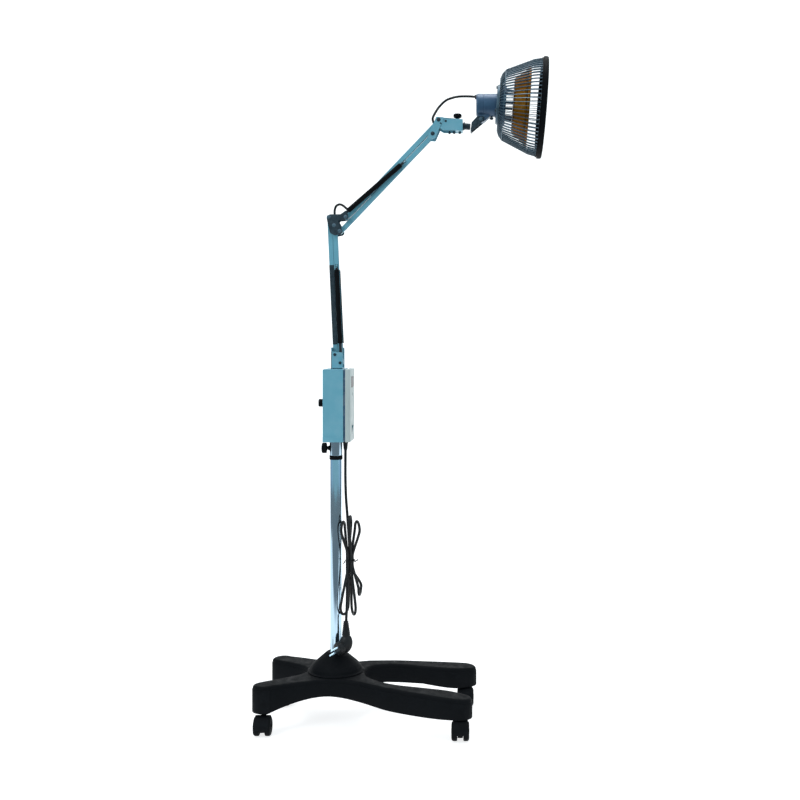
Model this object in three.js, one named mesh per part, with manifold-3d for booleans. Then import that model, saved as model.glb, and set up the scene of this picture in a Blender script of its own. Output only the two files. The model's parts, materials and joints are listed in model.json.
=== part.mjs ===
// Floor-standing heat-therapy lamp on four castors, in millimetres, +Z up, standing on Z = 0.
// The column's axis is the working origin; the finished group is shifted so that the object's box
// is centred over the origin.  +X points from the column towards the lamp head, +Y to the far side.
import * as THREE from 'three';
import { mergeVertices } from 'three/addons/utils/BufferGeometryUtils.js';
import Module from 'manifold-3d';

const wasm = await Module();
wasm.setup();

// ---------------------------------------------------------------- driving dimensions
const GAP = 0.3;                       // clearance kept between touching pieces
const TURN = Math.PI * 2;

const COLUMN_R = 12.7;                 // one-inch column tube
const COLUMN_WALL = 1.5;
const COLUMN_TOP = 735;
const SLEEVE_R = 14.1;
const SLEEVE_BOTTOM = 577;
const SLEEVE_TOP = 745;
const STOP_RING_BOTTOM = 567.5;

const LEG_X = { left: -137, right: 279 };   // castor stems, before the base is turned
const LEG_Y = { left: 97, right: 112 };
const BASE_TURN = THREE.MathUtils.degToRad(-2);   // the base stands a little askew under the arm
const LEG_END_R = 25;
const LEG_BOTTOM = { left: 47, right: 43.5 };
const HUB_TOP = 105;
const WHEEL_R = 20;
const WHEEL_WIDTH = 12.6;
const WHEEL_GAP = 12.6;
const CASTOR_TRAIL = -16;

const BOX = { rear: -23.5, seam: 20.8, front: 36, half: 44, bottom: 609, top: 766.5 };
const FUSE_Z = 691.5;
const BUTTON_Z = 712;

const BAR = 10;                        // square arm bars
const PIN_R = 3;
const PLATE_IN = 17;                   // inner face of the arm's side plates, from the middle plane
const PLATE_OUT = 19;
const SPRING_Y = 11.4;                 // spring and sleeve, between bars and plates
const SLEEVE_SPRING_R = 5.3;

const LOWER_PIVOT = [11.2, 779.6];
const LOWER_OFFSET = [-11.4, 18];      // from the bar's pivot to the link's pivot
const ELBOW_LOWER = [-2.2, 1079];
const UPPER_PIVOT = [10.3, 1066.7];
const UPPER_OFFSET = [12.9, 30.4];
const UPPER_LENGTH = 293;
const UPPER_ANGLE = THREE.MathUtils.degToRad(46.3);

const SHAFT_EXIT = [278, 1298];        // where the swivel shaft leaves the wrist channel
const SHAFT_TILT = THREE.MathUtils.degToRad(4.5);
const WRIST_KNOB_X = 266.5;
const HEAD_BACK = [356, 1345];         // centre of the cage's rear plane
const HEAD_TILT = THREE.MathUtils.degToRad(4);
const TILT_PIN = [318, 1311];
const NECK = { rear: 307.5, front: 353.6, r: 25.1, z: 1343.7 };
const RIBS = 72;
const RIM_R = 110.8;

const PAINT = 0x74a9c4;
const NEAR_BLACK = 0x1c1f22;

// ---------------------------------------------------------------- geometry helpers
function closed(geometry) {
  const bare = geometry.clone();
  bare.deleteAttribute('normal');
  bare.deleteAttribute('uv');
  const merged = mergeVertices(bare, 1e-4);
  const index = merged.index.array;
  const place = merged.attributes.position;
  const corner = [new THREE.Vector3(), new THREE.Vector3(), new THREE.Vector3()];
  const kept = [];
  let volume = 0;
  for (let i = 0; i < index.length; i += 3) {
    const [a, b, c] = [index[i], index[i + 1], index[i + 2]];
    if (a === b || b === c || c === a) continue;
    [a, b, c].forEach((id, k) => corner[k].fromBufferAttribute(place, id));
    volume += corner[0].dot(corner[1].clone().cross(corner[2]));
    kept.push(a, b, c);
  }
  if (volume < 0) {
    for (let i = 0; i < kept.length; i += 3) [kept[i], kept[i + 1]] = [kept[i + 1], kept[i]];
  }
  merged.setIndex(kept);
  return merged;
}

function solidOf(geometry) {
  const whole = closed(geometry);
  return new wasm.Manifold(new wasm.Mesh({
    numProp: 3,
    vertProperties: new Float32Array(whole.attributes.position.array),
    triVerts: new Uint32Array(whole.index.array),
  }));
}

function geometryOf(solid) {
  const mesh = solid.getMesh();
  const geometry = new THREE.BufferGeometry();
  geometry.setAttribute('position', new THREE.BufferAttribute(new Float32Array(mesh.vertProperties), 3));
  geometry.setIndex(Array.from(mesh.triVerts));
  return geometry;
}

function join(...pieces) {
  return geometryOf(pieces.map(solidOf).reduce((whole, piece) => whole.add(piece)));
}

function cut(piece, ...tools) {
  return geometryOf(tools.map(solidOf).reduce((rest, tool) => rest.subtract(tool), solidOf(piece)));
}

function common(a, b) {
  return geometryOf(solidOf(a).intersect(solidOf(b)));
}

// A lathe of [radius, height] points about +Z, or about +X with the height along +X.
function turned(profile, segments = 24, axis = 'z') {
  const lathe = new THREE.LatheGeometry(profile.map(([r, h]) => new THREE.Vector2(r, h)), segments);
  return axis === 'x' ? lathe.rotateZ(-Math.PI / 2) : lathe.rotateX(Math.PI / 2);
}

function rod(r, low, high, segments = 16, axis = 'z') {
  return turned([[0, low], [r, low], [r, high], [0, high]], segments, axis);
}

// A ring from inner to outer radius between two heights.
function ring(inner, outer, low, high, segments = 24, axis = 'z') {
  return turned([[inner, low], [outer, low], [outer, high], [inner, high], [inner, low]], segments, axis);
}

// A pin along Y through (x, z).
function pin(x, z, r, y0, y1, segments = 12) {
  return new THREE.CylinderGeometry(r, r, y1 - y0, segments).translate(x, (y0 + y1) / 2, z);
}

function block(x0, x1, y0, y1, z0, z1) {
  return new THREE.BoxGeometry(x1 - x0, y1 - y0, z1 - z0)
    .translate((x0 + x1) / 2, (y0 + y1) / 2, (z0 + z1) / 2);
}

function outline(points) {
  return new THREE.Shape(points.map(([x, y]) => new THREE.Vector2(x, y)));
}

// A flat plate: an outline in the XZ plane, filled from y0 to y1.
function plate(shape, y0, y1) {
  return new THREE.ExtrudeGeometry(shape, { depth: y1 - y0, bevelEnabled: false, curveSegments: 4 })
    .rotateX(Math.PI / 2).translate(0, y1, 0);
}

// An outline of corners, each rounded by its own radius, [x, z, radius], up to 45% of the shorter side.
function rounded(corners) {
  const path = new THREE.Shape();
  corners.forEach(([x, z, r = 0], i) => {
    const here = new THREE.Vector2(x, z);
    const before = new THREE.Vector2(...corners.at(i - 1).slice(0, 2)).sub(here);
    const after = new THREE.Vector2(...corners[(i + 1) % corners.length].slice(0, 2)).sub(here);
    const reach = Math.min(r, 0.45 * Math.min(before.length(), after.length()));
    const start = here.clone().add(before.setLength(reach));
    const end = here.clone().add(after.setLength(reach));
    if (i === 0) path.moveTo(start.x, start.y);
    else path.lineTo(start.x, start.y);
    if (r > 0) path.quadraticCurveTo(x, z, end.x, end.y);
  });
  return path;
}

// A prism with rounded upright edges, from z0 to z1.
function roundedPrism(x0, x1, y0, y1, z0, z1, r) {
  const shape = rounded([[x0, y0, r], [x1, y0, r], [x1, y1, r], [x0, y1, r]]);
  return new THREE.ExtrudeGeometry(shape, { depth: z1 - z0, bevelEnabled: false, curveSegments: 3 })
    .translate(0, 0, z0);
}

// A round tube through a list of points.
function tube(points, r, sides = 8, steps = 24) {
  const path = new THREE.CatmullRomCurve3(points.map((p) => new THREE.Vector3(...p)));
  const corners = Array.from({ length: sides }, (_, i) => {
    const turn = (TURN * i) / sides;
    return [r * Math.cos(turn), r * Math.sin(turn)];
  });
  return new THREE.ExtrudeGeometry(outline(corners), { steps, bevelEnabled: false, extrudePath: path });
}

// ---------------------------------------------------------------- the scene graph
const group = new THREE.Group();

function part(name, geometry, colour, roughness = 0.5, metalness = 0, parent = group) {
  const whole = closed(geometry);
  whole.computeVertexNormals();
  const mesh = new THREE.Mesh(whole, new THREE.MeshStandardMaterial({ color: colour, roughness, metalness }));
  mesh.name = name;
  parent.add(mesh);
  return mesh;
}

// ---------------------------------------------------------------- wheeled base
// Half of the base's plan, from the right crotch round to the left crotch, for Y >= 0.
function basePlan() {
  const path = new THREE.Path();
  const { left, right } = LEG_X;
  path.moveTo(64, 0);
  path.bezierCurveTo(66, 36, 92, 66, 150, 71);
  path.lineTo(232, 72.5);
  path.bezierCurveTo(255, 74, 268, 78, right + 7, LEG_Y.right - 24);
  path.absarc(right, LEG_Y.right, LEG_END_R, -1.3, Math.PI / 2, false);
  path.bezierCurveTo(250, 136, 190, 121, 140, 111);
  path.bezierCurveTo(90, 100, 46, 70, 0, 68);
  path.bezierCurveTo(-30, 70, -72, 98, left + 18, LEG_Y.left + 17.5);
  path.absarc(left, LEG_Y.left, LEG_END_R, 0.75, Math.PI, false);
  path.bezierCurveTo(left - LEG_END_R, 80, -128, 66, -108, 52);
  path.bezierCurveTo(-82, 36, -66, 22, -64, 0);
  const half = path.getPoints(6);
  const mirrored = half.slice(1, -1).reverse().map((p) => new THREE.Vector2(p.x, -p.y));
  return new THREE.Shape([...half, ...mirrored]);
}

// Side view of the base: level over the short legs and hub, falling along the long legs, arched below.
function baseProfile() {
  const side = new THREE.Shape();
  side.moveTo(-165, 47);
  side.lineTo(-122, 47);
  side.quadraticCurveTo(-70, 69, -18, 69);
  side.quadraticCurveTo(40, 68, 117, 53.5);
  side.quadraticCurveTo(180, 45, 240, 43.5);
  side.lineTo(310, 43.5);
  side.lineTo(310, 83);
  side.quadraticCurveTo(170, 92, 64, HUB_TOP);
  side.lineTo(-60, HUB_TOP);
  side.lineTo(-165, 103);
  return side;
}

function buildBase() {
  const plan = new THREE.ExtrudeGeometry(basePlan(), { depth: 90, bevelEnabled: false }).translate(0, 0, 30);
  const body = common(plan, plate(baseProfile(), -160, 160));
  const pockets = [];
  for (const side of [-1, 1]) {
    const legPocket = rounded([[90, side * 72, 4], [240, side * 84, 4], [240, side * 112, 4],
      [100, side * 84, 4]]);
    pockets.push(new THREE.ExtrudeGeometry(legPocket, { depth: 50, bevelEnabled: false, curveSegments: 2 })
      .translate(0, 0, 30));
    for (const end of ['left', 'right']) {
      pockets.push(rod(4.4, 25, 78, 12).translate(LEG_X[end], side * LEG_Y[end], 0));
    }
  }
  const hubPocket = roundedPrism(-46, 46, -50, 50, 60, 92, 8);
  const bore = rod(COLUMN_R + GAP, 60, 130, 24);
  part('base_shell', cut(body, hubPocket, bore, ...pockets).rotateZ(BASE_TURN), NEAR_BLACK, 0.55);

  const ballast = cut(roundedPrism(-45, 45, -49, 49, 77, 91.5, 7), rod(COLUMN_R + GAP, 70, 100, 24));
  part('ballast_plate', ballast.rotateZ(BASE_TURN), 0x55585c, 0.6, 0.8);

  const floor = HUB_TOP + GAP;
  const cone = [[COLUMN_R + GAP, floor], [62, floor], [62, 107], [57, 108.6], [55, 115], [50, 121.5], [23, 144.6],
    [19.3, 147.5], [COLUMN_R + GAP, 147.5], [COLUMN_R + GAP, floor]];
  part('hub_cone', turned(cone, 24), 0x202529, 0.5);

  part('column', ring(COLUMN_R - COLUMN_WALL, COLUMN_R, 78, COLUMN_TOP, 24), 0xc9d0d6, 0.15, 1);
  const stopRing = ring(COLUMN_R + GAP, SLEEVE_R + 0.2, STOP_RING_BOTTOM, SLEEVE_BOTTOM - GAP, 24);
  part('stop_ring', stopRing, NEAR_BLACK, 0.5);
}

// One twin-wheel castor: hood with stem and axle, and a wheel on each side.
function buildCastor(name, x, y, ceiling) {
  const wheelY = y + CASTOR_TRAIL;
  const inner = WHEEL_GAP / 2;
  const hoodShape = new THREE.Shape();
  hoodShape.absarc(wheelY, WHEEL_R, WHEEL_R + 0.8, 0.44, 3.04, false);
  hoodShape.lineTo(wheelY - 13, 9.5);
  hoodShape.lineTo(wheelY + 13, 9.5);
  const hood = { depth: WHEEL_GAP - 2, bevelEnabled: false, curveSegments: 8 };
  const web = new THREE.ExtrudeGeometry(hoodShape, hood)
    .rotateX(Math.PI / 2).rotateZ(Math.PI / 2).translate(x - inner + 1, 0, 0);
  const stem = rod(4, 27, 76, 12).translate(x, y, 0);
  const collar = rod(9, 40.5, ceiling - GAP, 16).translate(x, y, 0);
  const axle = rod(3, x - inner - WHEEL_WIDTH + 2, x + inner + WHEEL_WIDTH - 2, 12, 'x')
    .translate(0, wheelY, WHEEL_R);
  part(`${name}_hood`, join(web, stem, collar, axle), NEAR_BLACK, 0.55);
  for (const side of [-1, 1]) {
    const profile = [[3 + GAP, 0], [WHEEL_R, 0], [WHEEL_R, WHEEL_WIDTH - 4.6], [WHEEL_R - 3, WHEEL_WIDTH - 1.8],
      [WHEEL_R - 9, WHEEL_WIDTH], [3 + GAP, WHEEL_WIDTH], [3 + GAP, 0]];
    const wheel = turned(profile, 18, 'x');
    if (side < 0) wheel.rotateZ(Math.PI);
    wheel.translate(x + side * inner, wheelY, WHEEL_R);
    part(`${name}_wheel_${side < 0 ? 'left' : 'right'}`, wheel, 0x24272a, 0.6);
  }
}

// ---------------------------------------------------------------- sleeve and control box
function buildCarrier() {
  const screwZ = 592.6;
  const sleeve = join(
    ring(COLUMN_R + GAP, SLEEVE_R, SLEEVE_BOTTOM, SLEEVE_TOP, 24),
    ring(3 + GAP, 6, 13.6, 17, 12, 'x').rotateZ(Math.PI).translate(0, 0, screwZ),
  );
  part('sleeve', cut(sleeve, rod(3 + GAP, -20, -10, 12, 'x').translate(0, 0, screwZ)), 0xc3ccd3, 0.2, 1);

  const knob = [[0, 13.1], [3, 13.1], [3, 17.6], [6, 20], [11.5, 20.5], [11.5, 29.5], [10, 31], [0, 31]];
  part('clamp_knob', turned(knob, 16, 'x').rotateZ(Math.PI).translate(0, 0, screwZ), NEAR_BLACK, 0.5);

  const { rear, seam, front, half, bottom, top } = BOX;
  const wall = 1.6;
  const shell = cut(
    plate(rounded([[rear, bottom, 4], [seam, bottom], [seam, top], [rear, top, 4]]), -half, half),
    plate(rounded([[rear + wall, bottom + wall, 3], [seam + 5, bottom + wall], [seam + 5, top - wall],
      [rear + wall, top - wall, 3]]), -half + wall, half - wall),
    rod(SLEEVE_R + GAP, bottom - 5, bottom + 5, 24),
    rod(4 + GAP, rear - 5, rear + 5, 12, 'x').translate(0, 0, FUSE_Z),
  );
  part('box_rear_shell', shell, PAINT, 0.45, 0.1);

  const skin = 2.2;
  const switchHole = block(front - 6, front + 4, -8, 8, 623, 643);
  const cover = cut(
    plate(rounded([[seam + GAP, bottom], [front, bottom, 8], [front, top, 8], [seam + GAP, top]]), -half, half),
    plate(rounded([[seam - 4, bottom + skin], [front - skin, bottom + skin, 6], [front - skin, top - skin, 6],
      [seam - 4, top - skin]]), -half + skin, half - skin),
    switchHole,
    block(front - 6, front + 4, -22, 22, 726, 749),
    rod(4.6, front - 6, front + 4, 16, 'x').translate(0, 0, BUTTON_Z),
  );
  part('box_cover', cover, 0xd7dcd8, 0.5);
  part('display_window', block(front - skin, front + 0.4, -21.7, 21.7, 726.3, 748.7), 0x1a1012, 0.15);
  const button = [[0, front - 5], [6, front - 5], [6, front - skin - GAP], [4.2, front - skin - GAP]];
  button.push([4.2, front + 0.8], [3.4, front + 1.2], [0, front + 1.2]);
  part('timer_button', turned(button, 16, 'x').translate(0, 0, BUTTON_Z), 0x6c7377, 0.5);
  const rocker = outline([[front - 4.5, 624], [front + 0.4, 623.4], [front + 1, 633], [front + 3, 642.4],
    [front - 4.5, 642]]);
  part('rocker_switch', plate(rocker, -7.6, 7.6), 0x5d8f96, 0.35);
  const cap = [[0, 19], [4, 19], [4, -rear + GAP], [8.5, -rear + GAP], [8.5, 36.6], [7.6, 37.8], [0, 37.8]];
  part('fuse_cap', turned(cap, 18, 'x').rotateZ(Math.PI).translate(0, 0, FUSE_Z), NEAR_BLACK, 0.45);
}

// ---------------------------------------------------------------- spring-balanced arm
const along = ([x, z], angle, distance) => [x + distance * Math.cos(angle), z + distance * Math.sin(angle)];
const plus = (a, b) => [a[0] + b[0], a[1] + b[1]];

// A square bar between two pivots, a little past each, with a pin hole at both.
function bar(name, from, to, colour = PAINT) {
  const over = 5.5;
  const angle = Math.atan2(to[1] - from[1], to[0] - from[0]);
  const span = Math.hypot(to[0] - from[0], to[1] - from[1]);
  const half = BAR / 2;
  const body = plate(rounded([[-over, -half, 4], [span + over, -half, 4], [span + over, half, 4],
    [-over, half, 4]]), -half, half);
  const hollow = block(8, span - 8, -half + 1.2, half - 1.2, -half - 1, half - 1.2);
  const holes = [0, span].map((x) => pin(x, 0, PIN_R + GAP, -half - 1, half + 1));
  const mesh = part(name, cut(body, hollow, ...holes), colour, 0.4, 0.2);
  mesh.rotation.y = -angle;
  mesh.position.set(from[0], 0, from[1]);
}

// A through pin with a flat head outside each plate.
function throughPin([x, z], low = -PLATE_OUT - GAP, high = PLATE_OUT) {
  return join(pin(x, z, PIN_R, low - 0.5, high), pin(x, z, 4.4, low - 1.5, low));
}

function pinHole([x, z]) {
  return pin(x, z, PIN_R + GAP, -PLATE_OUT - 1, -PLATE_IN + 1);
}

// A tension spring, drawn as the rod that its coils fill, and its black sleeve, for one side.
function springPair(name, side, low, high, sleeveFrom, sleeveTo) {
  const angle = Math.atan2(high[1] - low[1], high[0] - low[0]);
  const span = Math.hypot(high[0] - low[0], high[1] - low[1]);
  const end = 3.6;
  const coils = [[0, end], [2.2, end], [3.4, 8], [3.4, span - 8], [2.2, span - end], [0, span - end]];
  const coil = turned(coils, 8, 'x');
  const sleeve = ring(3.4 + GAP + 0.4, SLEEVE_SPRING_R, sleeveFrom, sleeveTo, 12, 'x');
  const label = side < 0 ? 'front' : 'back';
  for (const [kind, geometry, colour] of [['spring', coil, 0x8a8f94], ['sleeve', sleeve, NEAR_BLACK]]) {
    const mesh = part(`${name}_${kind}_${label}`, geometry, colour, 0.5, kind === 'spring' ? 0.9 : 0);
    mesh.rotation.y = -angle;
    mesh.position.set(low[0], side * SPRING_Y, low[1]);
  }
}

const lowerLink = plus(LOWER_PIVOT, LOWER_OFFSET);
const elbowLink = plus(ELBOW_LOWER, LOWER_OFFSET);
const upperLink = plus(UPPER_PIVOT, UPPER_OFFSET);
const wristLower = along(UPPER_PIVOT, UPPER_ANGLE, UPPER_LENGTH);
const wristUpper = plus(wristLower, UPPER_OFFSET);

const LOWER_SPRING = { low: [11.8, 797], high: [2.5, 992] };
const UPPER_SPRING = { low: [22, 1106.4], high: [151.4, 1219.1] };

function buildArmBracket() {
  const { top } = BOX;
  const z0 = top + GAP;
  const web = [-8.5, -6.5];
  const end = 16.5;
  const tall = rounded([[web[0], z0], [end, z0], [end, 812, 2], [web[0], 814.7, 2]]);
  const short = rounded([[web[0], z0], [end, z0], [end, 802, 3], [web[0], 804.6, 1]]);
  const bracket = join(
    plate(tall, PLATE_IN, PLATE_OUT),
    plate(short, -PLATE_OUT, -PLATE_IN),
    block(web[0], web[1], -PLATE_OUT, PLATE_OUT, z0, 813),
    block(web[0], end, -PLATE_OUT, PLATE_OUT, z0, z0 + 2),
  );
  const studs = [[-18, -7.5], [7.5, 18]].map(([y0, y1]) => pin(...LOWER_SPRING.low, 1.8, y0, y1, 8));
  const holes = [LOWER_PIVOT, lowerLink].map(pinHole);
  const pins = [LOWER_PIVOT, lowerLink].map((at) => throughPin(at));
  part('arm_bracket', join(cut(bracket, ...holes), ...pins, ...studs), PAINT, 0.45, 0.1);
}

function buildLowerArm() {
  bar('lower_bar', LOWER_PIVOT, ELBOW_LOWER);
  bar('lower_link', lowerLink, elbowLink);
  for (const side of [-1, 1]) springPair('lower', side, LOWER_SPRING.low, LOWER_SPRING.high, 25, 186);
}

function elbowPlate() {
  return rounded([[-20.5, 1103.2, 9], [12, 1103.2, 5], [25.5, 1113, 3], [30.5, 1092.5, 5], [4.5, 1090.4, 3],
    [13.6, 1074.5, 6], [18, 1060.5, 7], [0, 1057, 7], [-10.6, 1062, 6]]);
}

function buildElbow() {
  const pivots = [ELBOW_LOWER, elbowLink, UPPER_PIVOT, upperLink];
  const front = cut(plate(elbowPlate(), -PLATE_OUT, -PLATE_IN), ...pivots.map(pinHole));
  part('elbow_plate_front', join(front, pin(...UPPER_SPRING.low, 1.8, -18, -7.5, 8)), 0x3a4b55, 0.5, 0.3);
  const back = join(plate(elbowPlate(), PLATE_IN, PLATE_OUT), ...pivots.map((at) => throughPin(at)),
    pin(...UPPER_SPRING.low, 1.8, 7.5, 18, 8));
  part('elbow_plate_back', back, 0x3a4b55, 0.5, 0.3);
}

function buildUpperArm() {
  bar('upper_bar', UPPER_PIVOT, wristLower);
  bar('upper_link', upperLink, wristUpper);
  for (const side of [-1, 1]) springPair('upper', side, UPPER_SPRING.low, UPPER_SPRING.high, 8, 160);
}

// ---------------------------------------------------------------- wrist, shaft and yoke
function buildWrist() {
  const top = 1315;
  const drop = Math.tan(SHAFT_TILT);
  const frontX = SHAFT_EXIT[0];
  const side = rounded([[222, top - 0.5, 1], [frontX, top - 1 - 56 * drop, 2], [frontX, 1285.5, 2],
    [236, 1286, 2], [226, 1292, 2]]);
  const strap = rounded([[...plus(wristUpper, [-5, 6.5]), 3], [...plus(wristUpper, [12.5, 5]), 2],
    [...plus(wristLower, [5, -11]), 3], [...plus(wristLower, [-11.5, -9.5]), 3]]);
  const strapOut = PLATE_OUT + 1.4;
  const ceiling = outline([[238, 1311.4], [frontX, 1308.2], [frontX, 1310.4], [238, 1313.5]]);
  const bracket = join(
    plate(side, -PLATE_OUT, -PLATE_IN),
    plate(side, PLATE_IN, PLATE_OUT),
    plate(strap, -strapOut, -PLATE_IN),
    plate(strap, PLATE_IN, strapOut),
    plate(ceiling, -PLATE_OUT, PLATE_OUT),
    block(frontX - 2.5, frontX, -PLATE_OUT, PLATE_OUT, 1285.5, 1310),
    block(262, frontX - 2.4, -14, 14, 1287, 1309.5),
  );
  const shaftBore = rod(7 + GAP, -40, 10, 20, 'x').rotateY(SHAFT_TILT)
    .translate(SHAFT_EXIT[0], 0, SHAFT_EXIT[1]);
  const knobBore = rod(3 + GAP, 1300, 1320, 12).translate(WRIST_KNOB_X, 0, 0);
  const pivots = [wristLower, wristUpper];
  const drilled = cut(bracket, ...pivots.map(pinHole), shaftBore, knobBore);
  const pins = pivots.map((at) => throughPin(at, -strapOut - GAP, PLATE_OUT + 1));
  part('wrist_bracket', join(drilled, ...pins), PAINT, 0.45, 0.1);

  const cap = [[0, 1306.6], [3, 1306.6], [3, 1312.6], [5, 1315.6], [9, 1317.5], [9, 1323], [7, 1325],
    [0, 1325.6]];
  part('wrist_knob', turned(cap, 18).translate(WRIST_KNOB_X, 0, 0), NEAR_BLACK, 0.5);
}

function buildShaftAndYoke() {
  const shaft = join(rod(7, -16.5, 16.6, 20, 'x'), ring(7 - 0.5, 9, 0.8, 4.2, 20, 'x'));
  const turnedShaft = shaft.rotateY(SHAFT_TILT).translate(SHAFT_EXIT[0], 0, SHAFT_EXIT[1]);
  part('swivel_shaft', turnedShaft, 0x2c3a44, 0.4, 0.6);

  const gusset = rounded([[294.6, 1283, 1], [297.6, 1304, 2], [309.4, 1317, 2], [326.5, 1317, 4],
    [324, 1307.6, 4]]);
  const [tx, tz] = TILT_PIN;
  const web = plate(outline([[294.9, 1284.5], [297.6, 1283.8], [300.4, 1303.2], [297.7, 1303.8]]), -14, 14);
  const ribs = [-1, 1].map((side) => plate(gusset, ...(side < 0 ? [-16, -13.9] : [13.9, 16])));
  const boltHole = pin(tx, tz, 2.5 + GAP, -17, -13);
  const bolt = join(pin(tx, tz, 2.5, -16.8, 15.9), pin(tx, tz, 4.4, -18.5, -16.3));
  part('yoke', join(cut(join(web, ...ribs), boltHole), bolt), 0x33424c, 0.5, 0.3);
}

// ---------------------------------------------------------------- lamp head
function buildNeck() {
  const { rear, front, r, z } = NECK;
  const [tx, tz] = TILT_PIN;
  const body = turned([[0, rear], [r - 3, rear], [r, rear + 3], [r, front], [r - 4, front], [r - 4, rear + 5],
    [0, rear + 5]], 24, 'x').translate(0, 0, z);
  const lug = plate(rounded([[tx - 6, tz - 5, 4], [tx + 6, tz - 5, 4], [337, 1317.5, 1], [337, 1322, 1],
    [tx - 7, 1322, 1]]), -12, 12);
  const bolt = rod(2.6, 1314, 1323, 10).translate(341, 0, 0);
  const nutHead = rod(4.2, 1313.5, 1317, 6).translate(341, 0, 0);
  part('neck', cut(join(body, lug, bolt, nutHead), pin(tx, tz, 2.5 + GAP, -14, 14)), 0x5a7285, 0.45, 0.3);
}

const CAGE_PROFILE = [[0, 56], [4, 67], [12, 77], [71, 102.8], [93.4, 107.6]];

function buildHead() {
  const head = new THREE.Group();
  head.position.set(HEAD_BACK[0], 0, HEAD_BACK[1]);
  head.rotation.y = HEAD_TILT;
  group.add(head);
  const place = (name, geometry, colour, roughness, metalness = 0) => (
    part(name, geometry, colour, roughness, metalness, head));

  const ribDepth = 2.6;
  const ribWidth = 1.4;
  const inner = ([s, r], i) => (i < 2 ? [s + ribDepth, r - 0.8] : [s + 0.9, r - ribDepth]);
  const inward = CAGE_PROFILE.map(inner).reverse();
  const rib = plate(outline([...CAGE_PROFILE, ...inward]), -ribWidth / 2, ribWidth / 2);
  const ribs = Array.from({ length: RIBS }, (_, i) => rib.clone().rotateX((TURN * i) / RIBS));
  const rearPlate = ring(18, 58, 0, 2, 30, 'x');
  const boss = ring(27, 43, -4.5, 0.5, 30, 'x');
  const frontRing = ring(104.8, 107.9, 90.5, 94.2, RIBS, 'x');
  const screws = [0, 1, 2].map((i) => rod(3, -7, -4, 8, 'x').translate(0, 0, 38).rotateX((TURN * i) / 3));
  place('cage', join(rearPlate, boss, frontRing, ...screws, ...ribs), 0x8fb0c6, 0.35, 0.4);

  const lip = [[108.4, 92], [RIM_R, 92], [RIM_R, 100], [109.2, 101.8], [102.6, 101.8], [102.6, 94.7]];
  lip.push([108.4, 94.7], [108.4, 92]);
  place('rim', turned(lip, 40, 'x'), NEAR_BLACK, 0.4);

  const wire = 1.4;
  const guardRings = [36, 70, 100.6].map((r) => ring(r - wire, r + wire, 94.6, 97, 24, 'x'));
  const spokes = Array.from({ length: 3 }, (_, i) => block(94.6, 97, -wire, wire, -100.6, 100.6)
    .rotateX((Math.PI * i) / 3));
  place('front_guard', join(...guardRings, ...spokes), 0xaab3ba, 0.3, 0.9);

  const drum = turned([[0, 2.4], [43, 2.4], [43, 16], [41, 16], [41, 4.4], [0, 4.4]], 24, 'x');
  const posts = Array.from({ length: 6 }, (_, i) => rod(3.2, 4, 31.4, 8, 'x').translate(0, 0, 33)
    .rotateX((TURN * (i + 0.5)) / 6));
  place('rear_drum', join(drum, ...posts), 0x6d7b86, 0.45, 0.6);

  const skin = 1.5;
  const cup = [[0, 32], [58, 32], [62, 35], [77, 55.5], [80, 58.5], [88, 61], [88, 66.5], [88 - skin, 66.5]];
  cup.push([88 - skin, 62.2], [79, 59.8], [75.4, 56.6], [60.8, 36.4], [57, 32 + skin], [0, 32 + skin]);
  place('plate_holder', turned(cup, 28, 'x'), 0x7a5420, 0.4, 0.7);
  place('mineral_plate', rod(83, 62.6, 65.8, 28, 'x'), 0x3b3a36, 0.9);
  const heater = [[18, 35.5], [52, 35.5], [52, 44], [18, 44], [18, 35.5]];
  place('heater', turned(heater, 24, 'x'), 0xcfc6b4, 0.8);
}

// ---------------------------------------------------------------- mains cord and leads
const CORD_R = 3;
const HANK = { top: 444, bottom: 226, left: 13.4, right: 57, front: -25.5, back: 17.5 };
const PLUG = { face: [7, -35.5, 160], pins: [-0.73, -0.59, -0.32], across: [0.23, -0.666, 0.71] };

function buildMainsCord() {
  const glandX = 20.8;
  const gland = [[0, 588], [3.6, 588], [5.4, 603], [6.3, 604], [6.3, BOX.bottom - GAP], [0, BOX.bottom - GAP]];
  part('mains_gland', turned(gland, 16).translate(glandX, 0, 0), NEAR_BLACK, 0.6);

  const drop = [[glandX, 0, 588 - GAP], [20.6, 0, 560], [20.8, -0.6, 520], [22.4, -1.6, 480],
    [25, -3, HANK.top + 1]];
  part('mains_cord', tube(drop, CORD_R, 10, 12), NEAR_BLACK, 0.6);

  const { top, bottom, left, right, front, back } = HANK;
  const tie = 347;
  const hank = rounded([[left, top - 10, 8], [24, top, 6], [40, top, 6], [right - 2, top - 8, 8],
    [right - 2, top - 40, 20], [43, tie, 30], [right, tie - 72, 10], [54, bottom, 12], [left + 6, bottom, 12],
    [left, tie - 80, 20], [20, tie, 30], [left, tie + 50, 20]]);
  part('mains_hank', plate(hank, front, back), NEAR_BLACK, 0.6);

  const tail = [[24.6, -18.8, bottom - 1], [24.7, -19.6, 222.8], [24.8, -20.3, 220.6]];
  part('mains_tail', tube(tail, CORD_R, 10, 3), NEAR_BLACK, 0.6);
  part('mains_plug', mainsPlug(), NEAR_BLACK, 0.5);
}

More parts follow.
